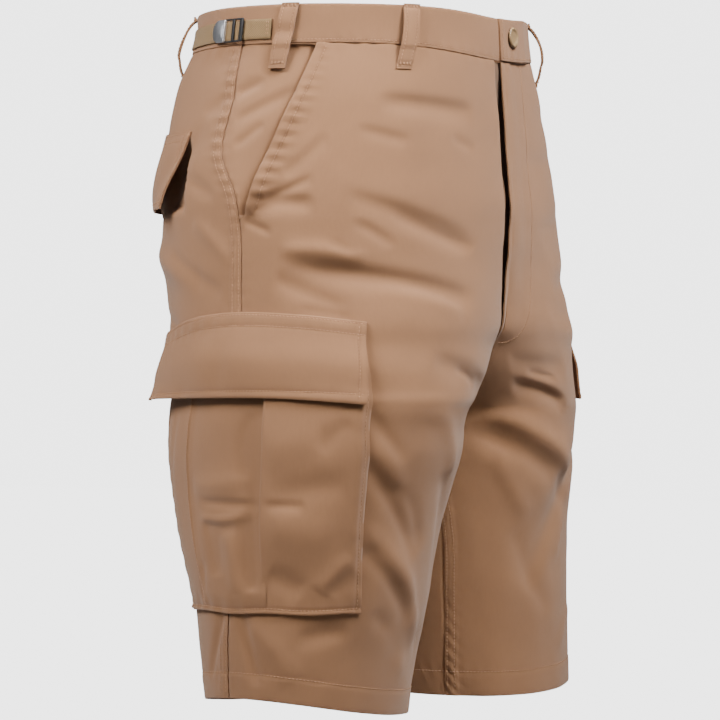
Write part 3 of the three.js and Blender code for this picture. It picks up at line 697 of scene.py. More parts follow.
def newMaterial(name, roughness, sheen=0.0, metallic=0.0):
    material = bpy.data.materials.new(name)
    material.use_nodes = True
    tree = material.node_tree
    shader = tree.nodes["Principled BSDF"]
    shader.inputs["Roughness"].default_value = roughness
    shader.inputs["Metallic"].default_value = metallic
    shader.inputs["Sheen Weight"].default_value = sheen
    shader.inputs["Sheen Roughness"].default_value = 0.6
    return material, tree, shader


def useGroup(tree, group, **values):
    node = tree.nodes.new("ShaderNodeGroup")
    node.node_tree = group
    for name, value in values.items():
        node.inputs[name].default_value = value
    return node


def mixColour(tree, share, dark, light):
    node = tree.nodes.new("ShaderNodeMix")
    node.data_type = "RGBA"
    node.inputs[6].default_value = (*dark, 1)
    node.inputs[7].default_value = (*light, 1)
    tree.links.new(share, node.inputs[0])
    return node.outputs[2]


def addBump(tree, height, shader, strength, distance, below=None):
    bump = tree.nodes.new("ShaderNodeBump")
    bump.inputs["Strength"].default_value = strength
    bump.inputs["Distance"].default_value = distance
    tree.links.new(height, bump.inputs["Height"])
    if below:
        tree.links.new(below, bump.inputs["Normal"])
    tree.links.new(bump.outputs[0], shader.inputs["Normal"])
    return bump.outputs[0]


def makeTwill(name, paintedShade=1.0):
    material, tree, shader = newMaterial(name, 0.86, sheen=0.12)
    shader.inputs["Specular IOR Level"].default_value = 0.25
    place = tree.nodes.new("ShaderNodeUVMap")
    place.uv_map = "cloth"
    weave = useGroup(tree, groups["weave"], Pitch=0.00115, Slope=1.8)
    mottle = useGroup(tree, groups["mottle"], Fibre=0.45)
    tree.links.new(place.outputs[0], weave.inputs["Place"])
    tree.links.new(place.outputs[0], mottle.inputs["Place"])
    shade = mathNode(tree, "MULTIPLY_ADD", weave.outputs["Shade"], 0.4)
    tree.links.new(mottle.outputs["Shade"], shade.node.inputs[2])
    # Below 1 this factor darkens both colours: painted shade, a shaded copy of the same cloth.
    dark = [c * paintedShade for c in shades["twillDark"]]
    light = [c * paintedShade for c in shades["twillLight"]]
    tree.links.new(mixColour(tree, shade, dark, light), shader.inputs["Base Color"])
    fuzz = addBump(tree, mottle.outputs["Fuzz"], shader, 0.12, 0.0003)
    addBump(tree, weave.outputs["Height"], shader, 0.32, 0.00018, fuzz)
    return material


def makeThread():
    material, tree, shader = newMaterial("thread", 0.7, sheen=0.1)
    place = tree.nodes.new("ShaderNodeTexCoord")
    noise = noiseAt(tree, place.outputs["Object"], 900)
    base = shades["threadColour"]
    colour = mixColour(tree, noise, [c * 0.8 for c in base], [c * 1.2 for c in base])
    tree.links.new(colour, shader.inputs["Base Color"])
    addBump(tree, noise, shader, 0.3, 0.0002)
    return material


def makeWebbing():
    material, tree, shader = newMaterial("webbing", 0.8, sheen=0.1)
    place = tree.nodes.new("ShaderNodeUVMap")
    place.uv_map = "cloth"
    ribs = useGroup(tree, groups["ribs"], Pitch=0.0019)
    mottle = useGroup(tree, groups["mottle"], Fibre=0.6)
    tree.links.new(place.outputs[0], ribs.inputs["Place"])
    tree.links.new(place.outputs[0], mottle.inputs["Place"])
    shade = mathNode(tree, "MULTIPLY_ADD", ribs.outputs["Height"], 0.35)
    tree.links.new(mottle.outputs["Shade"], shade.node.inputs[2])
    colour = mixColour(tree, shade, shades["webbingDark"], shades["webbingLight"])
    tree.links.new(colour, shader.inputs["Base Color"])
    addBump(tree, ribs.outputs["Height"], shader, 0.6, 0.0004)
    return material


def makeNickel():
    material, tree, shader = newMaterial("nickel", 0.28, metallic=1.0)
    place = tree.nodes.new("ShaderNodeTexCoord")
    scratches = noiseAt(tree, stretched(tree, place.outputs["Object"], (1, 0.15, 1)), 5200, 5)
    colour = mixColour(tree, scratches, shades["nickelDark"], shades["nickelLight"])
    tree.links.new(colour, shader.inputs["Base Color"])
    rough = mathNode(tree, "MULTIPLY_ADD", scratches, 0.25)
    rough.node.inputs[2].default_value = 0.18
    tree.links.new(rough, shader.inputs["Roughness"])
    addBump(tree, scratches, shader, 0.04, 0.00005)
    return material


def makeBlackSteel():
    material, tree, shader = newMaterial("blackSteel", 0.4, metallic=0.6)
    place = tree.nodes.new("ShaderNodeTexCoord")
    noise = noiseAt(tree, place.outputs["Object"], 500)
    colour = mixColour(tree, noise, shades["steelDark"], shades["steelLight"])
    tree.links.new(colour, shader.inputs["Base Color"])
    return material


def makeButtonPlastic():
    material, tree, shader = newMaterial("buttonPlastic", 0.42)
    place = tree.nodes.new("ShaderNodeTexCoord")
    noise = noiseAt(tree, place.outputs["Object"], 260, 4)
    base = shades["buttonColour"]
    colour = mixColour(tree, noise, [c * 0.8 for c in base], [c * 1.2 for c in base])
    tree.links.new(colour, shader.inputs["Base Color"])
    addBump(tree, noise, shader, 0.08, 0.0003)
    return material


twill = makeTwill("twill")
# A half-bright copy of the twill: painted shade for the fly strip deep in the gap under the lap.
twillPaintedShade = makeTwill("twillPaintedShade", 0.5)
thread = makeThread()
webbing = makeWebbing()
nickel = makeNickel()
blackSteel = makeBlackSteel()
buttonPlastic = makeButtonPlastic()
print("materials made")

# Panels

panelSizes = {
    "rowStep": 2.7,
    "crotchStep": 1.2,
    "frontColumns": 92,
    "backColumns": 96,
    "wall": 1.2,
    "hemWall": 2.4,
    "hemDeep": 22,
    "lapOver": 6,
    "lapRise": 1.8,
    "shieldEdge": 14.5,
    "shieldEdgeLow": 10,
    "openingRise": 5,
    "openingSewn": 9,
}
sidePanelSizes = {"columns": 56, "under": 7, "wide": 1.5, "sunk": 3.4, "groove": 5}


def panelLevels():
    sizes = panelSizes
    stops = [np.arange(heights["bandSeam"], -300, -sizes["rowStep"])]
    stops.append(np.arange(-300, heights["crotch"] - 12, -sizes["crotchStep"]))
    stops.append(np.arange(heights["crotch"] - 12, heights["hemEdge"], -sizes["rowStep"]))
    stops.append([heights["hemEdge"]])
    return np.concatenate(stops)[:, None]


def levelHeight(side, turn, level):  # follows the band at the top and the hem at the bottom
    high = evenly(heights["underBand"], heights["bandSeam"], level)
    top = mix(heights["underBand"], bandSeamAt(turn) - seamGap / 2, high)
    low = evenly(heights["hemStart"], heights["hemEdge"], level)
    bottom = mix(heights["hemStart"], hemAt(side, turn), low)
    return np.where(level > heights["underBand"], top, np.where(level < heights["hemStart"], bottom, level))


def seamHalf(level):
    return seamGap / 2 / section("wide", level)


def frontInner(side, level):
    sizes = panelSizes
    seamed = evenly(heights["lapEnd"], heights["lapSeamed"], level)
    if side == left:
        upper = lappedTurn(level, mix(-sizes["lapOver"], seamGap / 2, seamed))
    else:
        shield = mix(sizes["shieldEdge"], sizes["shieldEdgeLow"], smooth(-190, heights["lapEnd"], level))
        upper = frontTurn(level, mix(shield, seamGap / 2, seamed))
    lower = lineTurn(inseamLine, level) + seamHalf(level)
    return np.where(level > heights["crotch"], upper, lower)


def slantOrSeam(level):
    opening = lineTurn(slantLine, level)
    seam = lineTurn(sideSeamLine, level) - seamHalf(level)
    blend = smooth(heights["slantEnd"] - 3, heights["slantEnd"] + 3, level)
    return mix(seam, np.minimum(opening, seam), blend)


def hemProfile(cloth):
    deep = panelSizes["hemDeep"]
    along = cloth["fromStart"]
    below = cloth["fromBottom"]
    lift = 0.45 * smooth(deep + 1.5, deep - 3, below) + furrow(below, deep, 0.4, 1.4)
    lift += pucker(below, along, deep, 0.32, 8, 10.5, 1.3 * cloth["side"])
    lift += pucker(below, along, 2, 0.5, 12, 38, 0.4 * cloth["side"])
    return lift + bead(below, 1.4, 0.3)


def panelThick(cloth):
    low = smooth(panelSizes["hemDeep"] + 1, panelSizes["hemDeep"] - 1, cloth["fromBottom"])
    return mix(panelSizes["wall"], panelSizes["hemWall"], low)


def felledSeam(distance, along, seed):  # a lapped seam: a step, two dents and small puckers
    lift = 0.75 * smooth(11.5, 9.8, distance) - 0.3 * smooth(1.2, 0, distance)
    lift += furrow(distance, 2.2, 0.4) + furrow(distance, 8.6, 0.5)
    return lift + pucker(distance, along, 5, 0.75, 8, 11, seed)


felledRows = (2.2, 8.6)  # the two rows of stitches of a felled seam
tuckWide = 4  # how far the hidden ply of a seam runs on under the other


def hiddenPly(beyond):  # beyond is in millimetres past the seam line
    return -1.6 * smooth(-0.6, 0.8, beyond)


def underBandPucker(cloth, seed=0.0):
    top = cloth["fromTop"]
    return pucker(top, cloth["fromStart"], 2, 0.4, 9, 17, seed) - 0.5 * np.exp(-((top / 2.2) ** 2))


def makeFront(side):
    level = panelLevels()
    inner = frontInner(side, level)
    outer = slantOrSeam(level)
    wide = section("wide", level)
    seamed = 1 - smooth(heights["slantEnd"] - 3, heights["slantEnd"] + 3, level)
    turn = mix(inner, outer + seamed * tuckWide / wide, clustered(panelSizes["frontColumns"], 0.55)[None])
    beyond = (turn - outer) * wide
    z = levelHeight(side, turn, level)
    cloth = layCloth(side, turn, z)
    cloth["halfOnly"] = True
    measureArcs(cloth)
    start = cloth["fromStart"]
    end = cloth["fromEnd"]
    down = cloth["fromTop"]
    lift = hemProfile(cloth) + underBandPucker(cloth, side)
    upper = smooth(heights["lapSeamed"] - 2, heights["lapEnd"] + 4, level)
    if side == left:
        lift = lift + panelSizes["lapRise"] * upper * (1 - smooth(10, 34, start))
        lift += upper * (pucker(start, down, 0, 0.5, 9, 46, 2.1) + bead(start, 1.3, 0.5))
        lift += upper * furrow(start, 44, 0.22, 1.3)
    else:
        lift = lift + upper * (pucker(start, down, 0, 0.6, 10, 58, 0.6) + bead(start, 1.2, 0.4))
    crotchSeam = 1 - upper
    above = smooth(heights["crotch"] - 1, heights["crotch"] + 2, level)
    lift += crotchSeam * above * (bead(start, 1.6, 0.6) + furrow(start, 7, 0.25) + furrow(start, 2, 0.2))
    lift += (1 - above) * felledSeam(start, down, 3.0)
    pocketed = smooth(heights["slantEnd"], heights["slantEnd"] + 8, level)
    gape = 0.4 + 0.8 * np.exp(-(((z + 140) / 20) ** 2)) + 0.7 * np.exp(-(((z + 76) / 24) ** 2))
    edge = panelSizes["openingRise"] * gape * (1 - smooth(0, 26, end)) + 0.9 * (1 - smooth(8.5, 11, end))
    sewn = panelSizes["openingSewn"]
    edge += furrow(end, sewn, 0.6, 1.3) + pucker(end, down, sewn, 0.95, 8, 10.5, 0.7 + side)
    edge += bead(end, 1.1, 0.6)
    lift += pocketed * edge
    lift += (1 - pocketed) * (furrow(beyond, -1.2, 0.35, 1.0) + pucker(beyond, down, -2, 0.25, 6, 11, 1.0))
    lift += seamed * hiddenPly(beyond)
    thick = panelThick(cloth) + pocketed * 1.0 * (1 - smooth(8, 10, end))
    name = sided("front", side)
    piece = clothObject(name, cloth, lift, thick, twill)
    dress(piece, [f"front_{sideWords[side]}"])
    rows = len(level)
    slantShare = float(np.argmax(level[:, 0] < heights["slantEnd"] + 5)) / rows
    sewEdge(cloth, "fromEnd", panelSizes["openingSewn"], 0.005, slantShare)
    crotchShare = float(np.argmax(level[:, 0] < heights["crotch"])) / rows
    for inset in felledRows:
        sewEdge(cloth, "fromStart", inset, crotchShare + 0.03, 0.99)
    sewEdge(cloth, "fromBottom", panelSizes["hemDeep"])
    if side == left:
        sewFly(cloth)


flyLine = {"offset": 44, "straightEnd": -206, "curveEnd": -274}


def sewFly(cloth):  # a line down beside the fly that curves in to its lower end
    line = flyLine
    straight = np.linspace(-27, line["straightEnd"], 150)
    around = np.linspace(0, math.pi / 2, 60)
    drop = line["straightEnd"] - line["curveEnd"]
    curveZ = line["straightEnd"] - drop * np.sin(around)
    curveX = line["offset"] - panelSizes["lapOver"] - (line["offset"] - 8) * (1 - np.cos(around) ** 0.8)
    zs = np.concatenate([straight, curveZ[1:]])
    distances = np.concatenate([np.full(len(straight), line["offset"] - panelSizes["lapOver"]), curveX[1:]])
    sewPath(cloth, frontTurn(zs, np.maximum(distances, 0.5)), zs)


def makeSidePanel(side):
    sizes = sidePanelSizes
    level = panelLevels()
    level = level[level[:, 0] >= heights["slantEnd"]]
    opening = lineTurn(slantLine, level)
    seam = lineTurn(sideSeamLine, level) - seamHalf(level)
    under = opening - sizes["under"] * degree
    wide = section("wide", level)
    turn = mix(under, seam + tuckWide / wide, clustered(sizes["columns"], 0.35)[None])
    beyond = (turn - seam) * wide
    z = levelHeight(side, turn, level)
    cloth = layCloth(side, turn, z)
    measureArcs(cloth)
    lift = -sizes["sunk"] * (1 - smooth(opening, seam, turn)) + underBandPucker(cloth, 1.5 * side)
    groove = np.exp(-(((turn - opening) / (sizes["wide"] * degree)) ** 2))
    gape = 0.5 + 0.5 * np.exp(-(((z + 80) / 26) ** 2)) + 0.7 * np.exp(-(((z + 140) / 18) ** 2))
    lift -= sizes["groove"] * groove * gape
    lift += furrow(beyond, -1.4, 0.35, 1.0) + pucker(beyond, cloth["fromTop"], -3, 0.3, 7, 11, side)
    lift += hiddenPly(beyond)
    piece = clothObject(sided("sidePanel", side), cloth, lift, panelSizes["wall"], twill)
    nodes = [f"side_panel_{sideWords[side]}"]
    dress(piece, nodes)


def underBackFlap(turn, z):  # the hollow that shows under the flap's standing corner
    flap = backFlapSizes
    share = (flap["top"] - z) / (flap["top"] - flap["bottom"])
    front = flap["front"]
    inside = smooth(front - 0.8, front + 1.6, turn) * smooth(front + 18, front + 10, turn)
    return flap["hollow"] * inside * smooth(0.02, 0.4, share) * smooth(1.08, 0.95, share)


def makeBack(side):
    level = panelLevels()
    outer = lineTurn(sideSeamLine, level) + seamHalf(level)
    wide = section("wide", level)
    crotch = heights["crotch"]
    tuckAbove = smooth(crotch + 4, crotch + 18, level) if side == right else np.zeros_like(level)
    tuckBelow = smooth(crotch - 2, crotch - 14, level)
    above = fullTurn - lappedTurn(level, mix(seamGap / 2, -tuckWide, tuckAbove))
    below = fullTurn + lineTurn(inseamLine, level) - seamHalf(level)
    inner = np.where(level > crotch, above, below + tuckBelow * tuckWide / wide)
    turn = mix(outer, inner, clustered(panelSizes["backColumns"], 0.5)[None])
    beyond = (turn - np.where(level > crotch, fullTurn - edgeTurn(level), below)) * wide
    z = levelHeight(side, turn, level)
    cloth = layCloth(side, turn, z)
    cloth["halfOnly"] = True
    measureArcs(cloth)
    start = cloth["fromStart"]
    end = cloth["fromEnd"]
    down = cloth["fromTop"]
    lift = hemProfile(cloth) + underBandPucker(cloth, 2 + side) + felledSeam(start, down, 1.0 + side)
    raised = smooth(heights["crotch"] - 1, heights["crotch"] + 2, level)
    if side == left:
        lift += raised * felledSeam(end, down, 2.0)
    lift += (1 - raised) * (furrow(beyond, -1.2, 0.3) + pucker(beyond, down, -3, 0.25, 7, 12, 0.5))
    lift += (tuckAbove + tuckBelow) * hiddenPly(beyond)
    lift -= underBackFlap(turn / degree, z)
    piece = clothObject(sided("back", side), cloth, lift, panelThick(cloth), twill)
    dress(piece, [f"back_{sideWords[side]}"])
    for inset in felledRows:
        sewEdge(cloth, "fromStart", inset, 0.005, 0.995)
    sewEdge(cloth, "fromBottom", panelSizes["hemDeep"])
    if side == left:
        crotchShare = float(np.argmax(level[:, 0] < heights["crotch"] + 4)) / len(level)
        for inset in felledRows:
            sewEdge(cloth, "fromEnd", inset, 0.005, crotchShare)


# Flat cuts in millimetres

cutSizes = {
    "front": (330, 585),
    "sidePanel": (110, 155),
    "back": (350, 600),
    "band": (520, 36),
    "flyStrip": (32, 240),
    "cargoPocket": (250, 250),
    "cargoFlap": (240, 76),
    "backFlap": (150, 70),
    "loop": (15, 57),
    "strap": (92, 17.5),
    "strapEnd": (43, 17.5),
}


# Waistband and fly strip

bandSizes = {"columns": 260, "rows": 22, "out": 0.8, "lapRise": 2.8, "lapOver": 7, "under": 35, "wall": 2.4}


def makeBand(side):
    sizes = bandSizes
    level = np.zeros((sizes["rows"] + 1, 1))
    lapped = lappedTurn(level, -sizes["lapOver"] if side == left else -sizes["under"])
    ending = fullTurn - frontTurn(level, seamGap / 2)
    turn = mix(lapped, ending, clustered(sizes["columns"], 0.3)[None])
    share = clustered(sizes["rows"], 0.6)[:, None]
    z = mix(bandTopAt(turn), bandSeamAt(turn) + seamGap / 2, share)
    cloth = layCloth(side, turn, z, 0.5)
    measureArcs(cloth)
    past = turn / degree - 90
    rise = sizes["lapRise"] * (1 - smooth(14, 24, past)) if side == left else 0
    top = cloth["fromTop"]
    low = cloth["fromBottom"]
    along = cloth["fromStart"]
    lift = sizes["out"] + rise + bead(top, 1.5, 0.7) + bead(low, 1.2, 0.5) + furrow(low, 2.6, 0.3)
    lift += pucker(low, along, 2.6, 0.3, 7, 13, side) + pucker(top, along, 0, 0.22, 10, 31, 2 * side)
    lift += 0.5 * np.sin(along / 19 + side) * np.sin(along / 43) * smooth(0, 12, top) * smooth(0, 12, low)
    if side == left:
        lift += bead(along, 1.4, 0.7)
    piece = clothObject(sided("waistband", side), cloth, lift, sizes["wall"], twill)
    dress(piece, [f"waistband_{sideWords[side]}"])
    sewEdge(cloth, "fromBottom", 2.6)
    if side == left:
        sewEdge(cloth, "fromStart", 3.2, 0.05, 0.95)


def makeFlyStrip():
    level = panelLevels()
    level = level[level[:, 0] >= heights["lapEnd"]]
    distance = np.linspace(-12, 18, 25)[None] + 0 * level
    level = level + 0 * distance
    turn = lappedTurn(level, distance)
    z = levelHeight(right, turn, level) - np.where(level >= heights["bandSeam"], 1, 0)
    cloth = layCloth(right, turn, z)
    measureArcs(cloth)
    ridge = 4.2 * np.exp(-(((distance - 8.4) / 1.3) ** 2)) * smooth(-110, -130, z) * smooth(-262, -240, z)
    deep = mix(2, 7, smooth(-30, -80, z) * smooth(-262, -225, z))
    lift = ridge - deep + pucker(np.abs(distance - 8), cloth["fromTop"], 0, 0.5, 5, 34)
    # The strip takes the half-bright twill: painted shade for the dark gap under the lap.
    piece = clothObject("flyStrip", cloth, lift, 1.2, twillPaintedShade)
    dress(piece, ["fly_strip"])


# Belt loops

loopSizes = {"width": 15, "height": 56, "wall": 1.8, "rows": 64, "columns": 14, "sewn": 2.6}
loopRows = [
    ("front_right", right, 128.6, 130.9, 4.2),
    ("side_right", right, 169, 171.9, 3.4),
    ("back_right", right, 236, 239, 12),
    ("front_left", left, 129.5, 131, 10),
    ("side_left", left, 169.5, 171.5, 4),
    ("back_left", left, 236.5, 239.5, 5),
    ("centre_back", left, 270, 270, 5),
]


def makeLoop(name, side, topTurn, bottomTurn, bulge):
    sizes = loopSizes
    share = np.linspace(0, 1, sizes["rows"] + 1)[:, None]
    z = heights["bandTop"] + 0.6 - (sizes["height"] + 1.2) * share
    middle = mix(topTurn, bottomTurn, share) * degree
    if name == "centre_back":
        middle = fullTurn - frontTurn(0 * share, 0)
    across = np.linspace(-0.5, 0.5, sizes["columns"] + 1)[None]
    perTurn = np.linalg.norm(oval(side, middle + 0.01, z) - oval(side, middle, z), axis=-1) / 0.01
    turn = middle + across * sizes["width"] / perTurn
    z = z + 0 * turn
    cloth = layCloth(side, turn, z, 0)
    measureArcs(cloth)
    overBand = (bandSizes["out"] + 0.4) * smooth(heights["bandSeam"] - 8, heights["bandSeam"] - 2, z)
    arch = np.sin(math.pi * np.clip((share - 0.06) / 0.88, 0, 1)) ** 0.75
    if name.startswith("side"):
        arch = arch * (1 - 0.55 * np.exp(-(((share - 0.45) / 0.12) ** 2)))
    lift = 0.5 + overBand + bulge * arch * (1 + 0.12 * across * 2) + sizes["wall"]
    tack = np.exp(-(((share - 0.06) / 0.035) ** 2)) + np.exp(-(((share - 0.93) / 0.035) ** 2))
    lift = lift - 0.5 * tack - 1.0 * smooth(0.95, 0.99, share)
    lift = lift + 0.5 * (1 - (2 * across) ** 2) + furrow(np.abs(across) * sizes["width"], 4.8, 0.25, 0.9)
    words = name.split("_")
    pieceName = "beltLoop" + "".join(word.capitalize() for word in words)
    piece = clothObject(pieceName, cloth, lift, sizes["wall"], twill)
    dress(piece, [f"belt_loop_{name}"])
    for edge in ("fromStart", "fromEnd"):
        sewEdge(cloth, edge, sizes["sewn"], 0.02, 0.98)
    for row in (0.055, 0.93):
        at = int(row * sizes["rows"])
        barTack(cloth["outer"][at, 1:-1], cloth["normal"][at, 1:-1])


# Cargo pockets: two raised parts with an inverted box pleat open between them

pocketSizes = {
    "top": -262,
    "underFlap": 10,
    "bottom": -504,
    "rows": 112,
    "wall": 1.2,
    "edge": 2,
    "full": 8.8,
    "underlay": 4.2,
    "least": 2.3,  # so that the seam below never shows through
    "rearFold": 0.42,
    "lipBack": 3.2,
    "frontTurns": (139, 124.5),
    "rearTurns": (243, 238),
    "pleatFront": (176.6, 172),
    "pleatRear": (205, 208),
    "pleatBow": 7,
    "creased": 1.25,
    "sewn": 4,
}
pocketTurned = {right: (0, 0, 0), left: (-6, 12.5, -5.5)}  # at the top, the bottom and the flap
# Creases of the pocket, in the same columns as the folds of the cloth
pocketFolds = [
    (right, 207, -410, 174, -412, 0, -1.9, 3.2, 0.2),
    (right, 212, -398, 183, -394, 0, 1.6, 10, 0),
    (right, 180, -333, 183, -391, -3, -2, 7, 0),
    (right, 178, -326, 178, -496, 0, -0.9, 5, 0),
    (right, 208, -424, 182, -421, -3, 1.6, 4, 0.2),
    (right, 206, -431, 186, -428, -3, -1.4, 5.5, 0.2),
    (right, 202, -424, 198, -474, 2, -2, 8, 0),
    (right, 182, -422, 178, -486, 0, -2.4, 7, 0),
    (right, 189, -434, 187, -488, 0, 1.6, 7, 0),
    (right, 208, -460, 210, -495, 0, -1.2, 4, 0),
    (right, 222, -332, 233, -411, 0, -0.9, 4, 0),
    (right, 172, -412, 155, -412, 0, -1.3, 4, 0.2),
    (right, 170, -404, 139, -394, 2, -1.2, 12, 0),
    (right, 173, -367, 152, -356, 2, 1.2, 16, 0),
    (right, 169, -432, 143, -439, 2, 1.3, 16, 0),
    (right, 170, -470, 153, -486, 1, -1.5, 10, 0),
    (right, 146, -486, 133, -454, 1, 1.2, 7, 0),
    (right, 140, -488, 130, -466, 1, -0.7, 7, 0),
    (right, 152, -366, 142, -340, 1, -0.8, 7, 0),
]
flapTopLine = [(138, -257), (159, -251), (181, -248.5), (197, -251), (225, -263), (246, -268)]
flapBottomLine = [(138, -327), (176, -322), (205, -322), (246, -326)]


def makeCargoPocket(side):
    sizes = pocketSizes
    share = np.concatenate([[0], clustered(sizes["rows"], 0.3)[1:]])[:, None]
    nominal = mix(sizes["top"], sizes["bottom"], share)
    turned = mix(pocketTurned[side][0], pocketTurned[side][1], share)

    def between(name):
        return (mix(sizes[name][0], sizes[name][1], share) + turned) * degree

    front = between("frontTurns")
    rear = between("rearTurns")
    foldFront = between("pleatFront")
    bowed = 4 * share * (1 - share) * sizes["pleatBow"] * degree
    foldRear = between("pleatRear") + bowed
    radius = section("wide", nominal)
    lip = sizes["lipBack"] / radius
    # Columns: the part, its share, a shift in lip widths, the height of the layer
    columns = [("front", s, 0, 1) for s in np.linspace(0, 1, 40)]
    columns += [("front", 1, s, h) for s, h in ((0.08, 0.9), (0.1, 0.75), (0, 0.62), (-0.6, 0.5), (-1, 0.3))]
    columns += [("underlay", 0, -1, 0), ("underlay", 0, -0.5, 0)]
    columns += [("underlay", s, 0, 0) for s in np.linspace(0, 1, 28)]
    for s in clustered(42, 0.5):
        rise = sizes["rearFold"] * smooth(0, 0.05, s) + (1 - sizes["rearFold"]) * smooth(0.08, 0.6, s)
        columns.append(("rear", mix(0.006, 1, s), 0, mix(0.02, 1, rise)))
    ends = {"front": (front, foldFront), "underlay": (foldFront, foldRear), "rear": (foldRear, rear)}
    turn = np.concatenate([mix(*ends[part], s) + shift * lip for part, s, shift, _ in columns], 1)
    layer = np.array([height for *_, height in columns])[None] + 0 * turn
    top = curve(flapTopLine, 1, turn / degree - pocketTurned[side][2]) - sizes["underFlap"]
    z = mix(top, sizes["bottom"] + 0.7 * np.sin(turn * 9), share)
    cloth = layCloth(side, turn, z, 0.5)
    measureArcs(cloth)
    raised = mix(0.15, 1, smooth(0, 0.34, share)) * smooth(1.04, 0.66, share) * smooth(0, 0.05, share + 0.03)
    sides = smooth(0, 9, cloth["fromStart"]) * smooth(0, 9, cloth["fromEnd"])
    full = mix(sizes["edge"], sizes["full"], raised * sides)
    low = mix(sizes["edge"], sizes["underlay"], smooth(1, 0.93, share))
    lift = mix(low, full, layer)
    creases = foldLift(right, turn - turned * degree, z, pocketFolds, 1)
    inward = np.minimum(cloth["fromStart"], cloth["fromEnd"])
    lift = lift + sizes["creased"] * creases * smooth(1, 0.96, share) * smooth(0, 8, inward)
    lift = np.where(layer < 0.95, np.maximum(lift, sizes["least"]), lift)
    foldRidge = np.exp(-(((turn - foldRear) / (1.1 * degree)) ** 2))
    lift = lift + 0.7 * foldRidge * smooth(1, 0.96, share)
    low = cloth["fromBottom"]
    along = cloth["fromStart"]
    for distance in (low, cloth["fromStart"], cloth["fromEnd"]):
        lift = lift + 0.8 * np.exp(-(((distance - 1.6) / 1.3) ** 2))
        lift = lift + furrow(distance, sizes["sewn"], 0.55, 1.2)
    lift = lift + pucker(low, along, 5, 0.5, 9, 15, side)
    lift = lift + pucker(along, cloth["fromTop"], 4, 0.4, 8, 19, 1.0)
    lift = lift + pucker(cloth["fromEnd"], cloth["fromTop"], 4, 0.4, 8, 17, 2.0)
    piece = clothObject(sided("cargoPocket", side), cloth, lift, sizes["wall"], twill)
    dress(piece, [f"cargo_pocket_{sideWords[side]}"])
    levels = range(2, sizes["rows"] - 1)
    sewPath(cloth, [float(foldRear[i, 0]) + 1.3 * degree for i in levels], [float(z[i, -40]) for i in levels])
    sewEdge(cloth, "fromBottom", sizes["sewn"])
    sewEdge(cloth, "fromStart", sizes["sewn"], 0.05, 0.99)
    sewEdge(cloth, "fromEnd", sizes["sewn"], 0.05, 0.99)


cargoFlapSizes = {
    "front": 138.2,
    "rear": 244,
    "columns": 110,
    "rows": 40,
    "wall": 1.8,
    "corner": 15,
    "topRows": (2.4, 11.5),
    "edgeRow": 6.5,
    "frontCorner": {right: 0, left: 2.5},
}


def makeCargoFlap(side):
    sizes = cargoFlapSizes
    across = clustered(sizes["columns"], 0.6)[None]
    share = clustered(sizes["rows"], 0.6)[:, None]
    turns = mix(sizes["front"], sizes["rear"], across)
    z = mix(curve(flapTopLine, 1, turns), curve(flapBottomLine, 1, turns), share)
    turn = (turns + pocketTurned[side][2]) * degree + 0 * z
    cloth = layCloth(side, turn, z, 0.6)
    measureArcs(cloth)
    over = 1.6 * smooth(-0.1, 0.1, share) + 6.6 * smooth(0.06, 0.6, share) + 2 * share**2
    corner = smooth(0.62, 1, across) * sizes["corner"]
    corner = corner + smooth(0.3, 0, across) * sizes["frontCorner"][side]
    lift = 0.5 + sizes["wall"] + over + corner * share**1.2
    top = cloth["fromTop"]
    low = cloth["fromBottom"]
    start = cloth["fromStart"]
    end = cloth["fromEnd"]
    lift = lift + bead(top, 1.4, 0.6) + furrow(top, 2.4, 0.35) + furrow(top, 11.5, 0.45)
    for distance in (low, start, end):
        lift = lift + bead(distance, 1.5, 0.7) + furrow(distance, sizes["edgeRow"], 0.4, 1.2)
    lift = lift + 0.5 * smooth(6, 14, low) * smooth(12, 22, top) * smooth(6, 16, start) * smooth(6, 16, end)
    lift = lift + pucker(top, start, 8, 0.5, 8, 14, side) + pucker(low, start, 5, 0.45, 9, 21, 2 * side)
    lift = lift + 0.9 * np.exp(-(((across - 0.62) / 0.1) ** 2) - ((share - 1) / 0.5) ** 2)
    lift = lift - 0.8 * np.exp(-(((across - 0.42 - 0.12 * share) / 0.035) ** 2)) * smooth(0.2, 0.5, share)
    lift = lift - 0.7 * np.exp(-(((across - 0.2 - 0.1 * share) / 0.03) ** 2)) * smooth(0.3, 0.6, share)
    piece = clothObject(sided("cargoFlap", side), cloth, lift, sizes["wall"], twill)
    dress(piece, [f"cargo_flap_{sideWords[side]}"])
    for inset in sizes["topRows"]:
        sewEdge(cloth, "fromTop", inset)
    sewEdge(cloth, "fromBottom", sizes["edgeRow"], 0.03, 0.97)
    sewEdge(cloth, "fromStart", sizes["edgeRow"], 0.14, 0.93)
    sewEdge(cloth, "fromEnd", sizes["edgeRow"], 0.14, 0.93)


backFlapSizes = {
    "front": 204.5,
    "frontSlant": 5.5,
    "rear": 249,
    "top": -91,
    "bottom": -158,
    "columns": 60,
    "rows": 32,
    "wall": 1.8,
    "frontFlare": 13,
    "hollow": 9,
    "rearFlare": 3,
    "topRows": (2.4, 9),
    "edgeRow": 6,
}


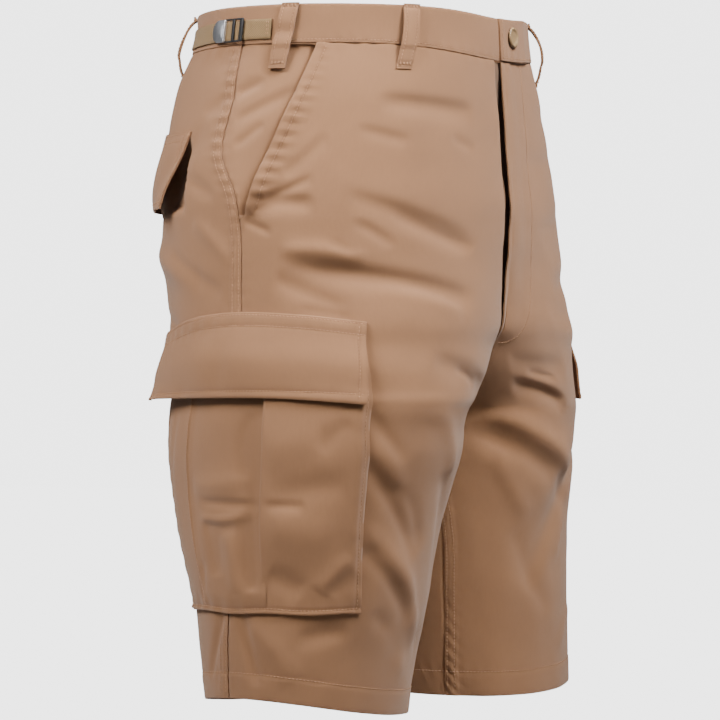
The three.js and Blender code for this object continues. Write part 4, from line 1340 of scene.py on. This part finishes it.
def makeBackFlap(side):
    sizes = backFlapSizes
    across = clustered(sizes["columns"], 0.6)[None]
    share = clustered(sizes["rows"], 0.6)[:, None]
    turn = mix(sizes["front"] + sizes["frontSlant"] * share, sizes["rear"], across) * degree
    z = mix(sizes["top"], sizes["bottom"], share) + 0 * turn
    cloth = layCloth(side, turn, z, 0.6)
    measureArcs(cloth)
    top = cloth["fromTop"]
    low = cloth["fromBottom"]
    start = cloth["fromStart"]
    end = cloth["fromEnd"]
    flare = mix(sizes["frontFlare"], sizes["rearFlare"], np.sqrt(across))
    lift = 0.5 + sizes["wall"] + share * flare + furrow(top, 2.4, 0.35) + furrow(top, 9, 0.4)
    for distance in (low, start, end):
        lift = lift + bead(distance, 1.5, 0.7) + furrow(distance, sizes["edgeRow"], 0.4, 1.2)
    lift = lift + pucker(top, start, 6, 0.4, 8, 14, side) + pucker(low, start, 4, 0.4, 8, 19, side)
    piece = clothObject(sided("backFlap", side), cloth, lift, sizes["wall"], twill)
    dress(piece, [f"back_flap_{sideWords[side]}"])
    for inset in sizes["topRows"]:
        sewEdge(cloth, "fromTop", inset)
    for edge in ("fromBottom", "fromStart", "fromEnd"):
        sewEdge(cloth, edge, sizes["edgeRow"], 0.1, 0.92)


# Waist adjusters

adjusterSizes = {
    "front": 175.7,
    "frontEnd": 194.4,
    "rearStart": 194.5,
    "rear": 231,
    "buckle": 194.5,
    "height": -4.5,
    "width": 17.5,
    "wall": 1.4,
    "gap": 0.5,
}
buckleSizes = {
    "width": 21,
    "bars": ((-19.2, 4.2), (-9, 3)),  # along the strap from the plate, and how wide
    "barThick": 1.5,
    "rim": 1.6,
    "railFrom": -20.5,
    "railTo": 2,
    "plateStraight": 1.2,
    "plateRound": 10,
    "plateEnd": 17.6,
    "crown": 1.5,
    "ridge": 2.2,
}


def makeWebbingPiece(name, node, side, start, end, cut):
    sizes = adjusterSizes
    columns = int((end - start) * 2.4)
    turn = np.linspace(start, end, columns + 1)[None] * degree
    rows = np.linspace(0.5, -0.5, 15)[:, None]
    z = sizes["height"] + rows * sizes["width"] + 0 * turn
    turn = turn + 0 * z
    cloth = layCloth(side, turn, z, 0.4)
    measureArcs(cloth)
    lift = bandSizes["out"] + sizes["gap"] + sizes["wall"] + 0.25 * (1 - (2 * rows) ** 4) + 0 * turn
    near = np.minimum(cloth["fromTop"], cloth["fromBottom"])
    lift = lift + bead(near, 1.0, 0.5)
    piece = clothObject(name, cloth, lift, sizes["wall"], webbing)
    dress(piece, [node])
    return cloth


def buckleFrame(side, out):  # a matrix at the buckle: X back along the band, Y up, Z out
    turn = np.array(adjusterSizes["buckle"] * degree)
    z = np.array(float(adjusterSizes["height"]))
    spot = oval(side, turn, z)
    normal = Vector(outward(side, turn, z).tolist())
    up = Vector((0, 0, 1))
    up = (up - normal * up.dot(normal)).normalized()
    back = up.cross(normal) * side
    place = Vector(spot.tolist()) + normal * out
    matrix = Matrix((back, up, normal)).transposed().to_4x4()
    matrix.translation = place * mm
    return matrix


def roundedPlate(name, outline, thick, material, bevel=0.3):
    count = len(outline)
    points = [(x, y, 0) for x, y in outline] + [(x, y, thick) for x, y in outline]
    faces = [list(range(count))[::-1], [count + i for i in range(count)]]
    faces += [[i, (i + 1) % count, count + (i + 1) % count, count + i] for i in range(count)]
    mesh = bpy.data.meshes.new(name)
    mesh.from_pydata([(x * mm, y * mm, z * mm) for x, y, z in points], [], faces)
    mesh.materials.append(material)
    piece = linked(name, mesh)
    edge = piece.modifiers.new("edge", "BEVEL")
    edge.width = bevel * mm
    edge.segments = 3
    edge.limit_method = "ANGLE"
    return piece


def barOutline(x, wide, tall):
    half = wide / 2
    reach = tall / 2
    corner = min(half, reach) * 0.6
    points = []
    corners = ((half, reach, 0), (-half, reach, 90), (-half, -reach, 180), (half, -reach, 270))
    for cornerX, cornerY, start in corners:
        middleX = x + cornerX - math.copysign(corner, cornerX)
        middleY = cornerY - math.copysign(corner, cornerY)
        for i in range(6):
            angle = (start + i * 18) * degree
            points.append((middleX + corner * math.cos(angle), middleY + corner * math.sin(angle)))
    return points


def crownedPlate(name, outline, middle, thick, crown, material):
    shares = (1, 1, 0.97, 0.9, 0.75, 0.55, 0.3)
    points = []
    for ring, share in enumerate(shares):
        z = 0 if ring == 0 else thick + crown * (1 - share**2)
        points += [(mix(middle, x, share) * mm, y * share * mm, z * mm) for x, y in outline]
    count = len(outline)
    points.append((middle * mm, 0, (thick + crown) * mm))
    faces = [list(range(count))[::-1]]
    for ring in range(len(shares) - 1):
        low = ring * count
        high = low + count
        faces += [[low + i, low + (i + 1) % count, high + (i + 1) % count, high + i] for i in range(count)]
    last = (len(shares) - 1) * count
    faces += [[last + i, last + (i + 1) % count, len(points) - 1] for i in range(count)]
    mesh = bpy.data.meshes.new(name)
    mesh.from_pydata(points, [], faces)
    mesh.materials.append(material)
    piece = linked(name, mesh)
    return piece


def makeBuckle(side):
    sizes = buckleSizes
    out = bandSizes["out"] + adjusterSizes["gap"] + adjusterSizes["wall"] + 0.4
    matrix = buckleFrame(side, out)
    half = sizes["width"] / 2
    pieces = []
    for i, (x, wide) in enumerate(sizes["bars"]):
        outline = barOutline(x, wide, sizes["width"])
        pieces.append(roundedPlate(f"bar{i}", outline, sizes["barThick"], blackSteel, bevel=0.5))
    for y in (sizes["rim"] / 2 - half, half - sizes["rim"] / 2):
        reach = sizes["rim"] / 2
        rear, front = sizes["railFrom"], sizes["railTo"]
        corners = ((rear, -reach), (front, -reach), (front, reach), (rear, reach))
        outline = [(x, y + dy) for x, dy in corners]
        pieces.append(roundedPlate(f"rail{len(pieces)}", outline, 1.1, blackSteel))
    straight, bend, tip = sizes["plateStraight"], sizes["plateRound"], sizes["plateEnd"]
    reach = half - 0.6
    plate = [(x, -reach) for x in np.linspace(straight, bend, 6)[:-1]]
    plate += [(bend + (tip - bend) * math.cos(a), reach * math.sin(a)) for a in np.linspace(-1.5, 1.5, 26)]
    plate += [(x, reach) for x in np.linspace(bend, straight, 6)[1:]]
    plate += [(straight, y) for y in np.linspace(reach, -reach, 12)[1:-1]]
    pieces.append(crownedPlate("plate", plate, (straight + tip) / 2, 1, sizes["crown"], nickel))
    ridge = barOutline(straight + 1.2, sizes["ridge"], sizes["width"] - 1.4)
    pieces.append(roundedPlate("ridge", ridge, 2.2, nickel, bevel=0.7))
    for piece in pieces:
        piece.matrix_world = matrix
        piece.name = f"buckle{sideWords[side].capitalize()}{piece.name.capitalize()}"
    bpy.context.view_layer.update()
    return joinPieces(sided("adjusterBuckle", side), pieces)


def joinPieces(name, pieces):
    depsgraph = bpy.context.evaluated_depsgraph_get()
    points = []
    faces = []
    slots = []
    materials = []
    for piece in pieces:
        mesh = piece.evaluated_get(depsgraph).to_mesh()
        base = len(points)
        points += [piece.matrix_world @ v.co for v in mesh.vertices]
        material = piece.data.materials[0]
        if material not in materials:
            materials.append(material)
        mirrored = piece.matrix_world.determinant() < 0
        for polygon in mesh.polygons:
            corners = [base + i for i in polygon.vertices]
            faces.append(corners[::-1] if mirrored else corners)
            slots.append(materials.index(material))
        piece.to_mesh_clear()
    for piece in pieces:
        bpy.data.objects.remove(piece, do_unlink=True)
    mesh = bpy.data.meshes.new(name)
    mesh.from_pydata(points, [], faces)
    for material in materials:
        mesh.materials.append(material)
    mesh.polygons.foreach_set("material_index", slots)
    mesh.polygons.foreach_set("use_smooth", np.ones(len(faces), bool))
    mesh.set_sharp_from_angle(angle=35 * degree)
    joined = linked(name, mesh)
    return joined


def makeAdjuster(side):
    sizes = adjusterSizes
    word = sideWords[side]
    ends = (sizes["front"], sizes["frontEnd"])
    name = sided("adjusterEnd", side)
    end = makeWebbingPiece(name, f"adjuster_end_{word}", side, *ends, cutSizes["strapEnd"])
    ends = (sizes["rearStart"], sizes["rear"])
    name = sided("adjusterStrap", side)
    makeWebbingPiece(name, f"adjuster_strap_{word}", side, *ends, cutSizes["strap"])
    sewEdge(end, "fromStart", 2.5, 0.1, 0.9)
    sewEdge(end, "fromStart", 4.2, 0.1, 0.9)
    buckle = makeBuckle(side)
    dress(buckle, [f"adjuster_buckle_{word}"])


# Button

buttonSizes = {"turn": 94.6, "height": -3.5, "radius": 9, "thick": 2.6, "around": 48}


def makeButton():
    sizes = buttonSizes
    turn = np.array(sizes["turn"] * degree)
    z = np.array(float(sizes["height"]))
    normal = Vector(outward(left, turn, z).tolist())
    out = bandSizes["out"] + bandSizes["lapRise"] + 0.6
    place = (Vector(oval(left, turn, z).tolist()) + normal * out) * mm
    radius = sizes["radius"]
    thick = sizes["thick"]
    profile = [(0, 0.2), (radius - 1.2, 0), (radius - 0.3, 0.5), (radius, thick * 0.5)]
    profile += [(radius - 0.4, thick - 0.35), (radius - 1.2, thick), (radius - 2.2, thick - 0.25)]
    profile += [(radius - 2.9, thick - 1), (radius - 4.2, thick - 1.3), (0, thick - 1.35)]
    around = sizes["around"]
    points = []
    for r, h in profile:
        for i in range(around):
            angle = i / around * fullTurn
            points.append((r * math.cos(angle) * mm, r * math.sin(angle) * mm, h * mm))
    faces = []
    for ring in range(len(profile) - 1):
        for i in range(around):
            j = (i + 1) % around
            low = ring * around
            high = low + around
            faces.append([low + i, low + j, high + j, high + i])
    mesh = bpy.data.meshes.new("waistButton")
    mesh.from_pydata(points, [], faces)
    mesh.polygons.foreach_set("use_smooth", np.ones(len(faces), bool))
    mesh.materials.append(buttonPlastic)
    button = linked("waistButton", mesh)
    button.matrix_world = Matrix.Translation(place) @ normal.to_track_quat("Z", "Y").to_matrix().to_4x4()
    dress(button, ["waist_button"])


# Build

for side in (right, left):
    makeFront(side)
    makeSidePanel(side)
    makeBack(side)
print("panels laid")
for side in (right, left):
    makeBand(side)
makeFlyStrip()
print("waistband and fly laid")
for side in (right, left):
    makeCargoPocket(side)
    makeCargoFlap(side)
    makeBackFlap(side)
    makeAdjuster(side)
print("pockets, flaps and adjusters laid")
for row in loopRows:
    makeLoop(*row)
makeButton()
print("loops and button laid")


def makeStitches():
    points = np.concatenate(stitchPoints) * mm
    faces = np.concatenate(stitchFaces)
    mesh = bpy.data.meshes.new("stitches")
    mesh.from_pydata(points.tolist(), [], faces.tolist())
    mesh.polygons.foreach_set("use_smooth", np.ones(len(faces), bool))
    mesh.materials.append(thread)
    piece = linked("stitches", mesh)
    dress(piece)
    print("stitches:", len(faces) // 16)


makeStitches()

# Floor and light

studio = {
    "floorBelow": 450,  # below the hems, as on a figure that stands
    "floorSize": 30,  # metres
    "floorColour": (0.9, 0.9, 0.895),
    "skyLight": 0.12,
    "skySeen": 3.4,
    "farGlow": 3.3,  # the floor's own light, beyond glowFrom to glowTo metres from the shorts
    "glowFrom": 1.1,
    "glowTo": 2.4,
    "sunStrength": 0.85,
    "sunSpread": 34,  # degrees
    "sunFrom": (-112, 54),  # azimuth and elevation
    # Soft boxes: azimuth, elevation and distance from the aim, power, size in metres,
    # spread in degrees and the place they are aimed at
    "boxes": {
        "frontBox": (-10, 50, 1.5, 8.4, 0.8, 42, (-0.01, -0.1, -0.09)),
        "sideBox": (-108, 43, 1.5, 6.6, 0.8, 52, (-0.15, 0.02, -0.17)),
    },
    "boxColour": (1, 0.985, 0.96),
}


def makeFloor():
    low = cadBox[0][2] - studio["floorBelow"] * mm
    half = studio["floorSize"] / 2
    mesh = bpy.data.meshes.new("floor")
    corners = [(-half, -half, low), (half, -half, low), (half, half, low), (-half, half, low)]
    mesh.from_pydata(corners, [], [(0, 1, 2, 3)])
    material, tree, shader = newMaterial("floorPaint", 0.9)
    place = tree.nodes.new("ShaderNodeTexCoord")
    noise = noiseAt(tree, place.outputs["Object"], 3)
    base = studio["floorColour"]
    colour = mixColour(tree, noise, [c * 0.995 for c in base], base)
    tree.links.new(colour, shader.inputs["Base Color"])
    reach = tree.nodes.new("ShaderNodeVectorMath")
    reach.operation = "LENGTH"
    tree.links.new(place.outputs["Object"], reach.inputs[0])
    glow = tree.nodes.new("ShaderNodeMapRange")
    glow.interpolation_type = "SMOOTHSTEP"
    glow.inputs["From Min"].default_value = studio["glowFrom"]
    glow.inputs["From Max"].default_value = studio["glowTo"]
    glow.inputs["To Max"].default_value = studio["farGlow"]
    tree.links.new(reach.outputs["Value"], glow.inputs["Value"])
    shader.inputs["Emission Color"].default_value = (1, 1, 1, 1)
    path = tree.nodes.new("ShaderNodeLightPath")
    seen = mathNode(tree, "MULTIPLY", glow.outputs["Result"], path.outputs["Is Camera Ray"])
    tree.links.new(seen, shader.inputs["Emission Strength"])
    mesh.materials.append(material)
    floor = linked("floor", mesh)


def placeLight(light, azimuth, elevation, distance, aim=(0, 0, -0.29)):
    lamp = linked(light.name, light)
    angle = azimuth * degree
    rise = elevation * degree
    way = Vector((math.sin(angle) * math.cos(rise), -math.cos(angle) * math.cos(rise), math.sin(rise)))
    lamp.location = Vector(aim) + way * distance
    lamp.rotation_euler = way.to_track_quat("Z", "Y").to_euler()


def makeLight():
    world = bpy.data.worlds.new("studio")
    world.use_nodes = True
    background = world.node_tree.nodes["Background"]
    background.inputs[0].default_value = (1, 1, 1, 1)
    path = world.node_tree.nodes.new("ShaderNodeLightPath")
    strength = mathNode(world.node_tree, "MULTIPLY_ADD", path.outputs["Is Camera Ray"], studio["skySeen"])
    strength.node.inputs[2].default_value = studio["skyLight"]
    world.node_tree.links.new(strength, background.inputs[1])
    bpy.context.scene.world = world
    sun = bpy.data.lights.new("sun", "SUN")
    sun.energy = studio["sunStrength"]
    sun.angle = studio["sunSpread"] * degree
    placeLight(sun, *studio["sunFrom"], 4)
    for name, (azimuth, elevation, distance, power, size, spread, aim) in studio["boxes"].items():
        box = bpy.data.lights.new(name, "AREA")
        box.energy = power
        box.size = size
        box.spread = spread * degree
        box.color = studio["boxColour"]
        placeLight(box, azimuth, elevation, distance, aim)


makeFloor()
makeLight()
print("floor and light set")
